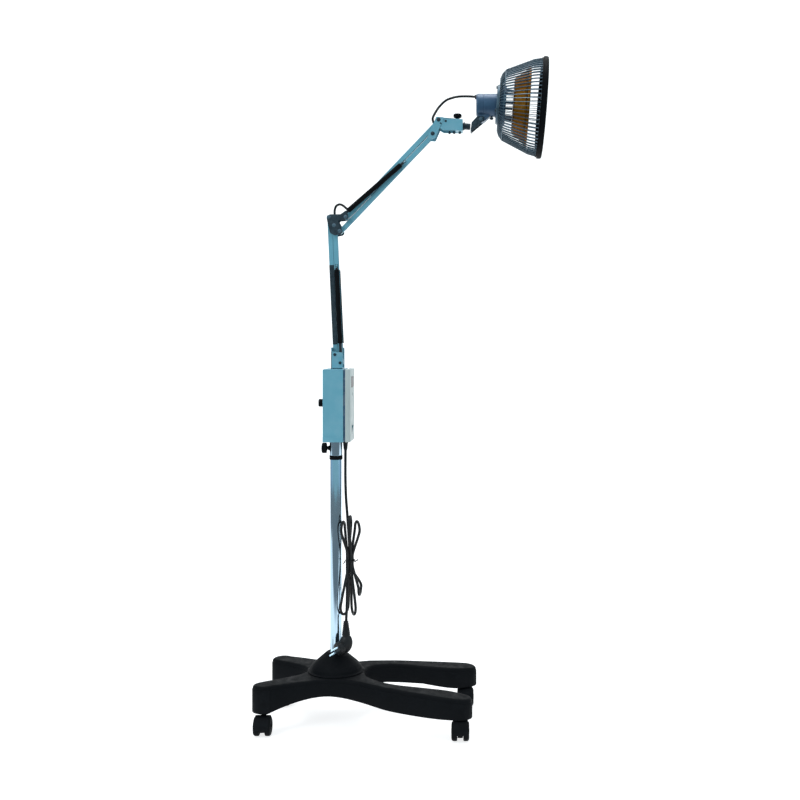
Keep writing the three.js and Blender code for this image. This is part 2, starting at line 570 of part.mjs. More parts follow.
// An angled plug with two round pins: it hangs by its strain relief, and its pins point down and outwards.
function mainsPlug() {
  const pins = new THREE.Vector3(...PLUG.pins).normalize();
  const up = new THREE.Vector3(...PLUG.across).normalize();
  const side = new THREE.Vector3().crossVectors(up, pins).normalize();
  const turnTo = new THREE.Matrix4().makeBasis(pins, side, up).setPosition(...PLUG.face);
  const face = rod(17, -13, 0, 20, 'x').scale(1, 0.8, 1).applyMatrix4(turnTo);
  const prongs = [-9.5, 9.5].map((z) => rod(2.4, -3, 19, 10, 'x').translate(0, 0, z).applyMatrix4(turnTo));
  const bulk = new THREE.SphereGeometry(1, 14, 10).scale(15, 12, 21).rotateY(0.2).translate(24, -24.5, 170);
  const relief = turned([[0, 0], [7, 0], [4, 34], [0, 34]], 14).rotateX(-0.1).translate(25, -24, 185);
  return join(face, bulk, relief, ...prongs);
}

function buildLeads() {
  const r = 2.6;
  const elbow = [[-4, 9, 1096], [-4.2, 9, 1106], [-3.6, 8, 1116], [0, 6.5, 1124], [8, 4, 1127], [16, 2, 1123.6],
    [23, 0, 1117.5], [28.5, 0, 1114.4]];
  const wristRear = [[218, 10.6, 1300], [213.4, 10.6, 1308], [211.6, 10.4, 1317], [217, 10, 1329],
    [227.5, 9, 1344], [242.7, 7, 1357], [260, 5, 1362.7]];
  const wristFront = [[260.8, 5, 1362.9], [272, 3.6, 1364], [284.5, 2, 1364], [296, 0.6, 1363.3],
    [NECK.rear - GAP, 0, 1362]];
  part('elbow_lead', tube(elbow, r, 8, 14), NEAR_BLACK, 0.5);
  part('wrist_lead_rear', tube(wristRear, r, 8, 14), NEAR_BLACK, 0.5);
  part('wrist_lead_front', tube(wristFront, r, 8, 8), NEAR_BLACK, 0.5);
}

buildBase();
for (const [end, x] of Object.entries(LEG_X)) {
  for (const [side, sign] of [['front', -1], ['back', 1]]) {
    const stem = new THREE.Vector2(x, sign * LEG_Y[end]).rotateAround(new THREE.Vector2(), BASE_TURN);
    buildCastor(`castor_${end}_${side}`, stem.x, stem.y, LEG_BOTTOM[end]);
  }
}
buildCarrier();
buildArmBracket();
buildLowerArm();
buildElbow();
buildUpperArm();
buildWrist();
buildShaftAndYoke();
buildNeck();
buildHead();
buildMainsCord();
buildLeads();

// Centre the object, without its mains cord, over the origin.
const onCord = new Set(['mains_gland', 'mains_cord', 'mains_hank', 'mains_tail', 'mains_plug']);
group.updateMatrixWorld(true);
const extent = new THREE.Box3();
group.traverse((node) => {
  if (node.isMesh && !onCord.has(node.name)) extent.union(new THREE.Box3().setFromObject(node, true));
});
group.position.set(-(extent.min.x + extent.max.x) / 2, -(extent.min.y + extent.max.y) / 2, -extent.min.z);

export default group;
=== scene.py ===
"""Looks of a floor-standing heat-therapy lamp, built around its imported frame.

Shapes are written in millimetres from the column's axis (+X towards the lamp head, +Y to the far
side, Z = 0 on the floor), and become metres in the frame as each piece is made.
"""
import json
import math

import bmesh
import bpy
import numpy as np
from mathutils import Matrix, Vector, geometry


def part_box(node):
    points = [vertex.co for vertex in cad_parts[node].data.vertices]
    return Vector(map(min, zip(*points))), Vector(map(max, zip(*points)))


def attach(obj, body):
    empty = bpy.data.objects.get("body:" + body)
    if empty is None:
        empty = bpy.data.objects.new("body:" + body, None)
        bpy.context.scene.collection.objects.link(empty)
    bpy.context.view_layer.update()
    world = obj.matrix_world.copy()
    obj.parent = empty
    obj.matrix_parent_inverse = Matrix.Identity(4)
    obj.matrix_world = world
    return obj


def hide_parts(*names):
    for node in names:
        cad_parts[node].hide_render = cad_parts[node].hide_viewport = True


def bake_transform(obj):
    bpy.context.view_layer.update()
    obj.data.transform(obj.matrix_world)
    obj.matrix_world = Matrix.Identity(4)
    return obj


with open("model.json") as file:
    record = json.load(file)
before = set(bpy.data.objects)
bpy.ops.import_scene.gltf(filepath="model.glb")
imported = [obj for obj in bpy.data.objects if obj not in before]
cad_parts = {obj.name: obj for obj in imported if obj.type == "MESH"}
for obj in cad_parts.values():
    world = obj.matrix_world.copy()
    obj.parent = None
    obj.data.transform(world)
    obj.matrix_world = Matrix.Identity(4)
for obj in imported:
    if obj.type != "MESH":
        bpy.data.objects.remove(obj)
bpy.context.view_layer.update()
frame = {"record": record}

MM = 0.001
TURN = 2 * math.pi
RECORD = frame["record"]
BODY_OF = {node: body for body, nodes in RECORD["behaviour"]["bodies"].items() for node in nodes}
SLOT_OF = {part["node"]: part["material_slot"] for part in RECORD["subparts"]}


# ---------------------------------------------------------------- places, from the frame
def column_axis():
    low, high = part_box("column")
    middle = (low + high) / 2
    return np.array([middle.x, middle.y, 0.0])


AXIS = column_axis()


def to_frame(point):
    """A point in millimetres from the column's axis, in metres in the frame."""
    return Vector(AXIS + np.asarray(point, float) * MM)


# ---------------------------------------------------------------- shapes
class Shape:
    """Corners and faces, in millimetres from the column's axis."""

    def __init__(self, verts, faces):
        self.verts = np.asarray(verts, float).reshape(-1, 3)
        self.faces = [tuple(int(i) for i in face) for face in faces]

    def __add__(self, other):
        count = len(self.verts)
        shifted = [tuple(i + count for i in face) for face in other.faces]
        return Shape(np.vstack([self.verts, other.verts]), self.faces + shifted)

    def moved(self, x=0.0, y=0.0, z=0.0):
        return Shape(self.verts + (x, y, z), self.faces)

    def by(self, matrix):
        turned = self.verts @ np.array(matrix.to_3x3()).T + np.array(matrix.to_translation())
        return Shape(turned, self.faces)

    def turned(self, degrees, axis):
        return self.by(Matrix.Rotation(math.radians(degrees), 4, axis))

    def scaled(self, x=1.0, y=1.0, z=1.0):
        return Shape(self.verts * (x, y, z), self.faces)


def merged(shapes):
    shapes = list(shapes)
    verts, faces, count = [], [], 0
    for shape in shapes:
        verts.append(shape.verts)
        faces += [tuple(i + count for i in face) for face in shape.faces]
        count += len(shape.verts)
    return Shape(np.vstack(verts), faces)


def rounded(points, radius=0.0, closed=True, steps=5):
    """A flat outline with its corners rounded by arcs; a third value is that corner's own radius."""
    out, count = [], len(points)
    for i, point in enumerate(points):
        here = np.array(point[:2], float)
        r = point[2] if len(point) > 2 else radius
        inner = closed or 0 < i < count - 1
        before = np.array(points[i - 1][:2], float) - here
        after = np.array(points[(i + 1) % count][:2], float) - here
        sides = np.linalg.norm(before), np.linalg.norm(after)
        if r <= 0 or not inner or min(sides) < 1e-6:
            out.append(here)
            continue
        before, after = before / sides[0], after / sides[1]
        bend = math.pi - math.acos(float(np.clip(before @ after, -1, 1)))
        if bend < 1e-3:
            out.append(here)
            continue
        reach = min(r * math.tan(bend / 2), 0.47 * min(sides))
        start, end, weight = here + before * reach, here + after * reach, math.cos(bend / 2)
        for k in range(steps + 1):
            t = k / steps
            a, b, c = (1 - t) ** 2, 2 * weight * t * (1 - t), t * t
            out.append((a * start + b * here + c * end) / (a + b + c))
    return np.array(out)


def open_line(points, steps=5):
    """An outline with two ends, its other corners rounded."""
    return rounded(points, closed=False, steps=steps)


def corners(x0, x1, y0, y1):
    return [(x0, y0), (x1, y0), (x1, y1), (x0, y1)]


def on_axis(across, around, height, axis):
    """Points of a lathe or prism turned so that its height runs along x, y or z."""
    columns = {"x": (height, across, around), "y": (around, height, across), "z": (across, around, height)}
    return np.stack(columns[axis], axis=-1)


def grid_faces(rows, columns, closed=False):
    """Four-cornered faces between rows of points that each close on themselves."""
    faces = []
    for i in range(rows if closed else rows - 1):
        j = (i + 1) % rows
        for k in range(columns):
            after = (k + 1) % columns
            faces.append((i * columns + k, i * columns + after, j * columns + after, j * columns + k))
    return faces


def lathe(profile, axis="z", segments=64):
    """A profile of (radius, height) points turned about an axis."""
    profile = np.asarray(profile, float)
    turn = np.linspace(0, TURN, segments, endpoint=False)
    r, h = profile[:, 0][:, None], profile[:, 1][:, None]
    grid = on_axis(r * np.cos(turn), r * np.sin(turn), h + 0 * turn, axis)
    return Shape(grid.reshape(-1, 3), grid_faces(len(profile), segments))


def spun(loop, axis="z", segments=64):
    """A closed outline turned about an axis."""
    return lathe(np.vstack([loop, loop[:1]]), axis, segments)


def rod(r, low, high, axis="z", segments=32, edge=0.4):
    return lathe(open_line([(0, low), (r, low, edge), (r, high, edge), (0, high)], steps=3), axis, segments)


def band(inner, outer, low, high, axis="z", segments=64, edge=0.4):
    loop = rounded(corners(inner, outer, low, high), edge, steps=3)
    return spun(loop, axis, segments)


def hoop(radius, wire, height, axis="x", segments=96, sides=12):
    """A round wire bent into a ring."""
    turn = np.linspace(0, TURN, sides + 1)
    return lathe(np.stack([radius + wire * np.cos(turn), height + wire * np.sin(turn)], -1), axis, segments)


def prism(outline, low, high, axis="y"):
    """An outline filled between two heights: XZ points along y, XY along z, or YZ along x."""
    outline = np.asarray(outline, float)
    n, a, b = len(outline), outline[:, 0], outline[:, 1]
    verts = []
    for height in (low, high):
        flat = np.full(n, float(height))
        columns = {"y": (a, flat, b), "z": (a, b, flat), "x": (flat, a, b)}
        verts.append(np.stack(columns[axis], -1))
    sides = [(i, (i + 1) % n, n + (i + 1) % n, n + i) for i in range(n)]
    return Shape(np.vstack(verts), sides + [tuple(range(n))[::-1], tuple(range(n, 2 * n))])


def brick(x0, x1, y0, y1, z0, z1):
    return prism(corners(x0, x1, z0, z1), y0, y1)


def smooth_path(points, step=1.5):
    """A centripetal Catmull-Rom curve through the points, sampled about every step millimetres."""
    points = np.asarray(points, float)
    padded = np.vstack([2 * points[0] - points[1], points, 2 * points[-1] - points[-2]])
    out = []
    for i in range(1, len(padded) - 2):
        p = padded[i - 1:i + 3]
        knots = np.concatenate([[0], np.cumsum(np.linalg.norm(np.diff(p, axis=0), axis=1) ** 0.5)])
        count = max(2, int(np.linalg.norm(p[2] - p[1]) / step))
        for t in np.linspace(knots[1], knots[2], count, endpoint=False):
            a = [((knots[k + 1] - t) * p[k] + (t - knots[k]) * p[k + 1]) / (knots[k + 1] - knots[k])
                 for k in range(3)]
            b = [((knots[k + 2] - t) * a[k] + (t - knots[k]) * a[k + 1]) / (knots[k + 2] - knots[k])
                 for k in range(2)]
            out.append(((knots[2] - t) * b[0] + (t - knots[1]) * b[1]) / (knots[2] - knots[1]))
    out.append(points[-1])
    return np.array(out)


def sweep(path, section, closed=False):
    """A section (a radius, one radius for each point, or an outline) carried along a path."""
    path = np.asarray(path, float)
    if not hasattr(section, "ndim") or section.ndim == 1:
        turn = np.linspace(0, TURN, 12, endpoint=False)
        circle = np.stack([np.cos(turn), np.sin(turn)], -1)
        sections = np.broadcast_to(np.asarray(section, float), (len(path),))[:, None, None] * circle
    else:
        sections = np.broadcast_to(section, (len(path),) + section.shape)
    tangents = np.gradient(path, axis=0)
    if closed:
        tangents = np.roll(path, -1, 0) - np.roll(path, 1, 0)
    tangents /= np.linalg.norm(tangents, axis=1)[:, None]
    guide = np.array([0.0, 1.0, 0.0]) if abs(tangents[0][1]) < 0.9 else np.array([1.0, 0.0, 0.0])
    verts = []
    for here, tangent, flat in zip(path, tangents, sections):
        guide = guide - tangent * (guide @ tangent)
        guide /= np.linalg.norm(guide)
        across = np.cross(tangent, guide)
        verts.append(here + flat[:, :1] * guide + flat[:, 1:] * across)
    n, m = len(path), len(verts[0])
    faces = grid_faces(n, m, closed)
    if not closed:
        faces += [tuple(range(m))[::-1], tuple(range((n - 1) * m, n * m))]
    return Shape(np.vstack(verts), faces)


def coil(start, end, radius, wire, pitch):
    """A helical spring of round wire between two points."""
    start, end = np.asarray(start, float), np.asarray(end, float)
    span = np.linalg.norm(end - start)
    turns = span / pitch
    t = np.linspace(0, 1, int(turns * 14) + 1)
    along = (end - start) / span
    side = np.cross(along, [0, 1, 0])
    up = np.cross(side, along)
    angle = (TURN * turns * t)[:, None]
    return sweep(start + along * span * t[:, None] + radius * (np.cos(angle) * side + np.sin(angle) * up), wire)


# ---------------------------------------------------------------- materials
def set_inputs(node, **values):
    for name, value in values.items():
        node.inputs[name.replace("_", " ")].default_value = value


def node_of(tree, kind, **values):
    node = tree.nodes.new(kind)
    set_inputs(node, **values)
    return node


def mixed(tree, factor, low, high):
    """A colour between two others by a factor socket."""
    mix = tree.nodes.new("ShaderNodeMix")
    mix.data_type = "RGBA"
    tree.links.new(factor, mix.inputs["Factor"])
    for socket, value in ((mix.inputs[6], low), (mix.inputs[7], high)):
        if isinstance(value, bpy.types.NodeSocket):
            tree.links.new(value, socket)
        else:
            socket.default_value = (*value, 1)
    return mix.outputs[2]


def product(tree, first, second):
    """Two sockets multiplied."""
    node = tree.nodes.new("ShaderNodeMath")
    node.operation = "MULTIPLY"
    tree.links.new(first, node.inputs[0])
    tree.links.new(second, node.inputs[1])
    return node.outputs[0]


def mapped(tree, value, low, high, start=0.0, end=1.0):
    """A socket's value carried from the range start to end over to the range low to high."""
    node = node_of(tree, "ShaderNodeMapRange", From_Min=start, From_Max=end, To_Min=low, To_Max=high)
    tree.links.new(value, node.inputs["Value"])
    return node.outputs["Result"]


def surface(name, colour, shade, rough, metal=0.0, mottle=18.0, grain=900.0, bump=0.04, wear=None,
            coat=0.0, specular=0.5, streak=None):
    """A procedural finish: mottled colour, uneven roughness, a fine grain, and wear along edges."""
    material = bpy.data.materials.new(name)
    material.use_nodes = True
    tree = material.node_tree
    link = tree.links.new
    shader = tree.nodes["Principled BSDF"]
    set_inputs(shader, Metallic=metal, Specular_IOR_Level=specular, Coat_Weight=coat, Coat_Roughness=0.15)
    where = drawn = tree.nodes.new("ShaderNodeTexCoord").outputs["Object"]
    if streak:
        stretch = node_of(tree, "ShaderNodeMapping", Scale=streak)
        link(where, stretch.inputs["Vector"])
        drawn = stretch.outputs["Vector"]
    cloud = node_of(tree, "ShaderNodeTexNoise", Scale=mottle, Detail=5.0, Roughness=0.6)
    fine = node_of(tree, "ShaderNodeTexNoise", Scale=grain, Detail=3.0, Roughness=0.55)
    smear = node_of(tree, "ShaderNodeTexNoise", Scale=mottle * 4, Detail=4.0, Roughness=0.65)
    link(where, cloud.inputs["Vector"])
    link(drawn, fine.inputs["Vector"])
    link(drawn, smear.inputs["Vector"])
    paint = mixed(tree, mapped(tree, cloud.outputs["Fac"], 0, 1, 0.3, 0.7), shade, colour)
    if wear:
        edge = mapped(tree, tree.nodes.new("ShaderNodeNewGeometry").outputs["Pointiness"], 0, 1, 0.53, 0.62)
        rubbed = mapped(tree, smear.outputs["Fac"], 0, 1, 0.42, 0.62)
        paint = mixed(tree, product(tree, edge, rubbed), paint, wear)
    link(paint, shader.inputs["Base Color"])
    link(mapped(tree, smear.outputs["Fac"], rough * 0.8, rough * 1.25, 0.3, 0.7), shader.inputs["Roughness"])
    relief = node_of(tree, "ShaderNodeBump", Strength=bump, Distance=0.0006)
    link(fine.outputs["Fac"], relief.inputs["Height"])
    link(relief.outputs["Normal"], shader.inputs["Normal"])
    return material


def finishes():
    """One finish for each of the record's material slots."""
    return {
        "black_plastic": surface("black_plastic", (0.0046, 0.0054, 0.0066), (0.0034, 0.004, 0.005), 0.6,
                                 mottle=14, grain=1500, bump=0.2, wear=(0.014, 0.016, 0.019), specular=0.05),
        "chrome": surface("chrome", (0.52, 0.68, 0.8), (0.42, 0.59, 0.72), 0.1, metal=1, mottle=9, grain=700,
                          bump=0.012, streak=(1, 1, 0.06)),
        "blue_paint": surface("blue_paint", (0.165, 0.42, 0.53), (0.14, 0.37, 0.475), 0.38, mottle=11,
                              grain=520, bump=0.07, wear=(0.3, 0.46, 0.54), coat=0.12, specular=0.35),
        "cover_plastic": surface("cover_plastic", (0.5, 0.56, 0.55), (0.42, 0.48, 0.47), 0.46, mottle=10,
                                 grain=1300, bump=0.12, wear=(0.62, 0.66, 0.65), specular=0.35),
        "dark_metal": surface("dark_metal", (0.024, 0.042, 0.056), (0.015, 0.028, 0.04), 0.42, metal=0.2,
                              mottle=40, grain=800, bump=0.12, wear=(0.1, 0.14, 0.17), specular=0.3),
        "head_paint": surface("head_paint", (0.05, 0.12, 0.22), (0.03, 0.065, 0.12), 0.36, metal=0.15,
                              mottle=22, grain=600, bump=0.06, wear=(0.16, 0.2, 0.26), coat=0.12,
                              specular=0.35),
        "cage_steel": surface("cage_steel", (0.1, 0.16, 0.205), (0.06, 0.1, 0.135), 0.3, metal=0.45,
                              mottle=24, grain=700, bump=0.05, specular=0.35),
        "bronze": surface("bronze", (0.36, 0.135, 0.006), (0.2, 0.076, 0.004), 0.36, metal=0.8, mottle=26,
                          grain=420, bump=0.08, wear=(0.4, 0.17, 0.03), specular=0.2),
        "mineral": surface("mineral", (0.07, 0.066, 0.06), (0.04, 0.038, 0.036), 0.85, mottle=60, grain=1600,
                           bump=0.5, specular=0.2),
        "ceramic": surface("ceramic", (0.55, 0.52, 0.46), (0.44, 0.4, 0.34), 0.8, mottle=40, grain=900,
                           bump=0.25, specular=0.3),
        "spring_steel": surface("spring_steel", (0.055, 0.062, 0.073), (0.033, 0.038, 0.046), 0.34, metal=0.8,
                                mottle=60, grain=900, bump=0.03),
        "ballast_iron": surface("ballast_iron", (0.08, 0.08, 0.084), (0.05, 0.05, 0.053), 0.6, metal=0.6,
                                mottle=30, grain=400, bump=0.35),
        "cord_black": surface("cord_black", (0.0085, 0.0095, 0.011), (0.006, 0.007, 0.008), 0.46, mottle=40,
                              grain=1400, bump=0.08, specular=0.25),
        "display": surface("display", (0.012, 0.007, 0.008), (0.009, 0.005, 0.006), 0.3, mottle=30, grain=600,
                           bump=0.005, specular=0.2),
        "rocker_green": surface("rocker_green", (0.06, 0.19, 0.21), (0.04, 0.14, 0.16), 0.25, mottle=60,
                                grain=800, bump=0.04, coat=0.3),
    }


MATERIALS = finishes()


# ---------------------------------------------------------------- pieces
WELD = 1e-6
SHARP = 38


def mesh_of(name, shape):
    """A shape as a mesh in metres, with its doubled corners joined and its faces pointing out."""
    mesh = bpy.data.meshes.new(name)
    mesh.from_pydata((shape.verts * MM + AXIS).tolist(), [], shape.faces)
    work = bmesh.new()
    work.from_mesh(mesh)
    bmesh.ops.remove_doubles(work, verts=work.verts, dist=WELD)
    bmesh.ops.recalc_face_normals(work, faces=work.faces)
    work.to_mesh(mesh)
    work.free()
    return mesh


def added(name, data):
    """A new object in the scene."""
    made = bpy.data.objects.new(name, data)
    bpy.context.scene.collection.objects.link(made)
    return made


def piece(name, shape, body, slot, bevel=0.0, steps=2, sharp=SHARP, stands_for=()):
    """Makes a shape into a Blender piece that rides on a body and takes a slot's finish."""
    mesh = mesh_of(name, shape)
    mesh.shade_smooth()
    mesh.set_sharp_from_angle(angle=math.radians(sharp))
    mesh.materials.append(MATERIALS[slot])
    made = added(name, mesh)
    if bevel:
        add_bevel(made, bevel, steps)
    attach(made, body)
    if stands_for:
        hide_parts(*stands_for)
    return made


def add_bevel(made, width, steps):
    bevel = made.modifiers.new("soft_edges", "BEVEL")
    bevel.width = width * MM
    bevel.segments = steps
    bevel.limit_method = "ANGLE"
    bevel.angle_limit = math.radians(32)
    bevel.harden_normals = True
    bevel.use_clamp_overlap = True


def fine(node, shape, **more):
    """The fine version of a CAD node: same body, slot and place."""
    return piece(f"{node}_fine", shape, BODY_OF[node], SLOT_OF[node], stands_for=(node,), **more)


def extra(name, shape, like, slot=None, **more):
    """A small piece on the same body as a CAD node."""
    return piece(name, shape, BODY_OF[like], slot or SLOT_OF[like], **more)


def carved(made, *cutters):
    """Cuts shapes out of a piece for good."""
    for cutter in cutters:
        tool = added("cutter", mesh_of("cutter", cutter))
        cut = made.modifiers.new("cut", "BOOLEAN")
        cut.operation, cut.solver, cut.object = "DIFFERENCE", "EXACT", tool
        while made.modifiers[0] != cut:
            made.modifiers.move(made.modifiers.find(cut.name), 0)
        bpy.context.view_layer.update()
        others = [modifier for modifier in made.modifiers if modifier != cut]
        for modifier in others:
            modifier.show_viewport = False
        shaped = bpy.data.meshes.new_from_object(made.evaluated_get(bpy.context.evaluated_depsgraph_get()))
        for modifier in others:
            modifier.show_viewport = True
        made.modifiers.remove(cut)
        made.data = shaped
        bpy.data.objects.remove(tool)
    made.data.shade_smooth()
    made.data.set_sharp_from_angle(angle=math.radians(SHARP))
    return made


# ---------------------------------------------------------------- wheeled base
LEG_X = {"left": -137, "right": 279}
LEG_Y = {"left": 97, "right": 112}
BASE_TURN = -2.0
LEG_R = 25
LEG_BOTTOM = {"left": 47, "right": 43.5}
COLUMN_R = 12.7
WALL = 3.2
ROOF, RIB_TOP = 3.5, 3.2
EDGE_R = 6.0
BORE_GAP = 0.3


def bezier(points, steps=14):
    """Points of a quadratic or cubic curve, without its first."""
    points = [np.array(p, float) for p in points]
    t = np.linspace(0, 1, steps + 1)[1:, None]
    while len(points) > 1:
        points = [(1 - t) * a + t * b for a, b in zip(points, points[1:])]
    return points[0]


def arc(centre, r, start, end, steps=18):
    turn = np.linspace(start, end, steps + 1)
    return np.stack([centre[0] + r * np.cos(turn), centre[1] + r * np.sin(turn)], -1)


def base_plan():
    """The base's plan: two short legs to the left, two long ones to the right."""
    left, right = LEG_X["left"], LEG_X["right"]
    near, far = LEG_Y["left"], LEG_Y["right"]
    half = [np.array([[64.0, 0.0]])]

    def curve(*controls):
        half.append(bezier((half[-1][-1], *controls)))

    curve((66, 36), (92, 66), (150, 71))
    curve((180, 71.5), (232, 72.5))
    curve((255, 74), (268, 78), (right + 7, far - 24))
    half.append(arc((right, far), LEG_R, -1.3, math.pi / 2))
    curve((250, 136), (190, 121), (140, 111))
    curve((90, 100), (46, 70), (0, 68))
    curve((-30, 70), (-72, 98), (left + 18, near + 17.5))
    half.append(arc((left, near), LEG_R, 0.75, math.pi))
    curve((left - LEG_R, 80), (-128, 66), (-108, 52))
    curve((-82, 36), (-66, 22), (-64, 0))
    half = np.vstack(half)
    return even(np.vstack([half, half[-2:0:-1] * (1, -1)]), 3.0)


def even(loop, step):
    """A closed line with its points spread evenly."""
    shut = np.vstack([loop, loop[:1]])
    run = np.concatenate([[0], np.cumsum(np.linalg.norm(np.diff(shut, axis=0), axis=1))])
    places = np.linspace(0, run[-1], int(run[-1] / step), endpoint=False)
    return np.stack([np.interp(places, run, shut[:, k]) for k in range(2)], -1)


def inset(loop, distance):
    """A closed anticlockwise line moved inwards."""
    along = np.roll(loop, -1, 0) - np.roll(loop, 1, 0)
    along /= np.linalg.norm(along, axis=1)[:, None]
    return loop + distance * np.stack([-along[:, 1], along[:, 0]], -1)


def within(points, loop):
    """Which points lie inside a closed line."""
    x, y = points[:, :1], points[:, 1:]
    ax, ay, bx, by = loop[:, 0], loop[:, 1], np.roll(loop[:, 0], -1), np.roll(loop[:, 1], -1)
    crosses = ((ay > y) != (by > y)) & (x < ax + (y - ay) * (bx - ax) / np.where(by == ay, 1e-9, by - ay))
    return crosses.sum(1) % 2 == 1


def base_top(x):
    curve = np.vstack([[(-165, 103), (-60, 105), (64, 105)], bezier([(64, 105), (172, 95), (310, 83.5)])])
    return np.interp(x, curve[:, 0], curve[:, 1])


def base_bottom(x):
    low, right = LEG_BOTTOM["left"], LEG_BOTTOM["right"]
    curve = np.vstack([[(-165, low), (-122, low)], bezier([(-122, low), (-70, 69), (-18, 69)]),
                       bezier([(-18, 69), (40, 68), (117, 53.5)]),
                       bezier([(117, 53.5), (180, 45), (240, right)]), [(310, right)]])
    return np.interp(x, curve[:, 0], curve[:, 1])


def inner_lift(loop):
    """How much higher the bottom edge runs on the walls that face each other between the long legs."""
    x, y = loop.T
    return np.where(abs(y) < 62 + 0.2 * x, np.interp(x, (64, 104, 185, 262), (0, 6, 9, 0)), 0)


def filled(edge, hole, height, step=8.0):
    """A skin between an edge and a hole, at a height that depends on X."""
    low, high = edge.min(0), edge.max(0)
    grid = np.meshgrid(np.arange(low[0], high[0], step), np.arange(low[1], high[1], step))
    grid = np.stack(grid, -1).reshape(-1, 2)
    grid = grid[within(grid, inset(edge, step * 0.4)) & ~within(grid, inset(hole, -step * 0.4))]
    corners = np.vstack([edge, hole, grid])
    n, m = len(edge), len(hole)
    lines = [(i, (i + 1) % n) for i in range(n)] + [(n + i, n + (i + 1) % m) for i in range(m)]
    flat, _, faces, *_ = geometry.delaunay_2d_cdt([Vector(c) for c in corners], lines, [], 0, 1e-5)
    flat = np.array([tuple(v) for v in flat])
    middles = np.array([flat[list(f)].mean(0) for f in faces])
    kept = within(middles, edge) & ~within(middles, hole)
    return Shape(np.column_stack([flat, height(flat[:, 0])]), [f for f, keep in zip(faces, kept) if keep])


def layered(loops):
    """A skin through closed lines with the same number of points."""
    return Shape(np.vstack(loops), grid_faces(len(loops), len(loops[0])))


def build_base():
    """The four-legged base, its weight, the cone, the column, the stop ring and the castors."""
    plan = base_plan()
    bore = arc((0, 0), COLUMN_R + BORE_GAP, 0, TURN, 48)[:-1]

    def ring(depth, height, drop):
        loop = inset(plan, depth)
        lift = inner_lift(loop) if height is base_bottom else 0
        return np.column_stack([loop, height(loop[:, 0]) + drop + lift])

    turns = np.linspace(0, math.pi / 2, 7)
    loops = [ring(WALL, base_top, -ROOF), ring(WALL, base_bottom, 0.4), ring(WALL - 0.4, base_bottom, 0),
             ring(0.8, base_bottom, 0), ring(0.2, base_bottom, 0.3), ring(0, base_bottom, 1),
             ring(0, base_top, -9.2), ring(0.3, base_top, -8.6), ring(1.0, base_top, -8.3),
             ring(1.2, base_top, -7.6)]
    loops += [ring(1.2 + EDGE_R * (1 - math.cos(t)), base_top, EDGE_R * (math.sin(t) - 1)) for t in turns]
    upper = filled(inset(plan, 1.2 + EDGE_R), bore, base_top)
    ceiling = filled(inset(plan, WALL), bore, lambda x: base_top(x) - ROOF)
    ribs = [band(COLUMN_R + 0.4, 17, 66, 101.8), band(50, 52, 72, 101.8)]
    for side in (-1, 1):
        for end, x in LEG_X.items():
            ribs.append(band(4.4, 13, LEG_BOTTOM[end], base_top(x) - RIB_TOP).moved(x, side * LEG_Y[end]))
        for x, inner, outer in ((120, 68, 103), (165, 73.5, 112), (212, 74, 121), (-96, 50, 94)):
            low, high = sorted((side * inner, side * outer))
            ribs.append(brick(x, x + 2, low, high, base_bottom(x) + 11, base_top(x) - RIB_TOP))
    fine("base_shell", merged([layered(loops), upper, ceiling, *ribs]).turned(BASE_TURN, "Z"), sharp=50)

    weight = prism(rounded(corners(-45, 45, -49, 49), 7), 77, 91.5, "z")
    carved(fine("ballast_plate", weight.turned(BASE_TURN, "Z"), bevel=1.2),
           rod(COLUMN_R + BORE_GAP, 70, 100, segments=48))
    flank = [(COLUMN_R + BORE_GAP, 105.3), (61.5, 105.3, 0.6), (62, 107, 0.8), (57, 108.6, 2), (55, 115, 3),
             (50, 121.5, 4), (23, 144.6, 2), (19.3, 147.5, 1.4), (COLUMN_R + BORE_GAP, 147.5, 0.6)]
    fine("hub_cone", spun(rounded(flank), segments=96))
    fine("column", band(COLUMN_R - 1.5, COLUMN_R, 78, 735, segments=64, edge=0.5))
    fine("stop_ring", band(COLUMN_R + BORE_GAP, 14.3, 567.5, 576.7, segments=64, edge=0.7))
    for end in LEG_X:
        for side, sign in (("front", -1), ("back", 1)):
            stem = Matrix.Rotation(math.radians(BASE_TURN), 3, "Z") @ Vector((LEG_X[end], sign * LEG_Y[end], 0))
            build_castor(f"castor_{end}_{side}", stem.x, stem.y, LEG_BOTTOM[end])


WHEEL_R = 20
CASTOR_TRAIL = -16


def build_castor(name, x, y, ceiling):
    """A twin-wheel castor: a hood over the wheels, its web, stem and axle, and the two wheels."""
    wheel_y = y + CASTOR_TRAIL
    centre = (wheel_y, WHEEL_R)
    web = np.vstack([arc(centre, WHEEL_R + 0.7, 0.44, 3.04), [(wheel_y - 13, 9.5), (wheel_y + 13, 9.5)]])
    cover = np.vstack([arc(centre, WHEEL_R + 2.2, 0.62, 3.3, 24), arc(centre, WHEEL_R + 0.8, 3.3, 0.62, 24)])
    hood = merged([
        prism(web, x - 5.3, x + 5.3, "x"), prism(cover, x - 15.5, x + 15.5, "x"),
        rod(4, 27, 76, segments=24).moved(x, y), rod(9, 40.6, ceiling - 0.3, segments=32).moved(x, y),
        rod(3, x - 16.9, x + 16.9, "x", 24).moved(0, wheel_y, WHEEL_R),
    ])
    fine(f"{name}_hood", hood, bevel=0.6)
    tread = rounded([(3.3, 0, 0.2), (18.4, 0, 1), (WHEEL_R, 1.4, 1.4), (WHEEL_R, 8.4, 3), (18, 11.4, 2),
                     (13.6, 12.3, 1), (12.4, 11.2, 0.6), (6.4, 11.4, 0.6), (5.6, 12.6, 0.6), (3.3, 12.6, 0.3)],
                    steps=4)
    for side, sign in (("left", -1), ("right", 1)):
        wheel = spun(tread, "x", 48).scaled(sign).moved(x + sign * 6.3, wheel_y, WHEEL_R)
        fine(f"{name}_wheel_{side}", wheel)


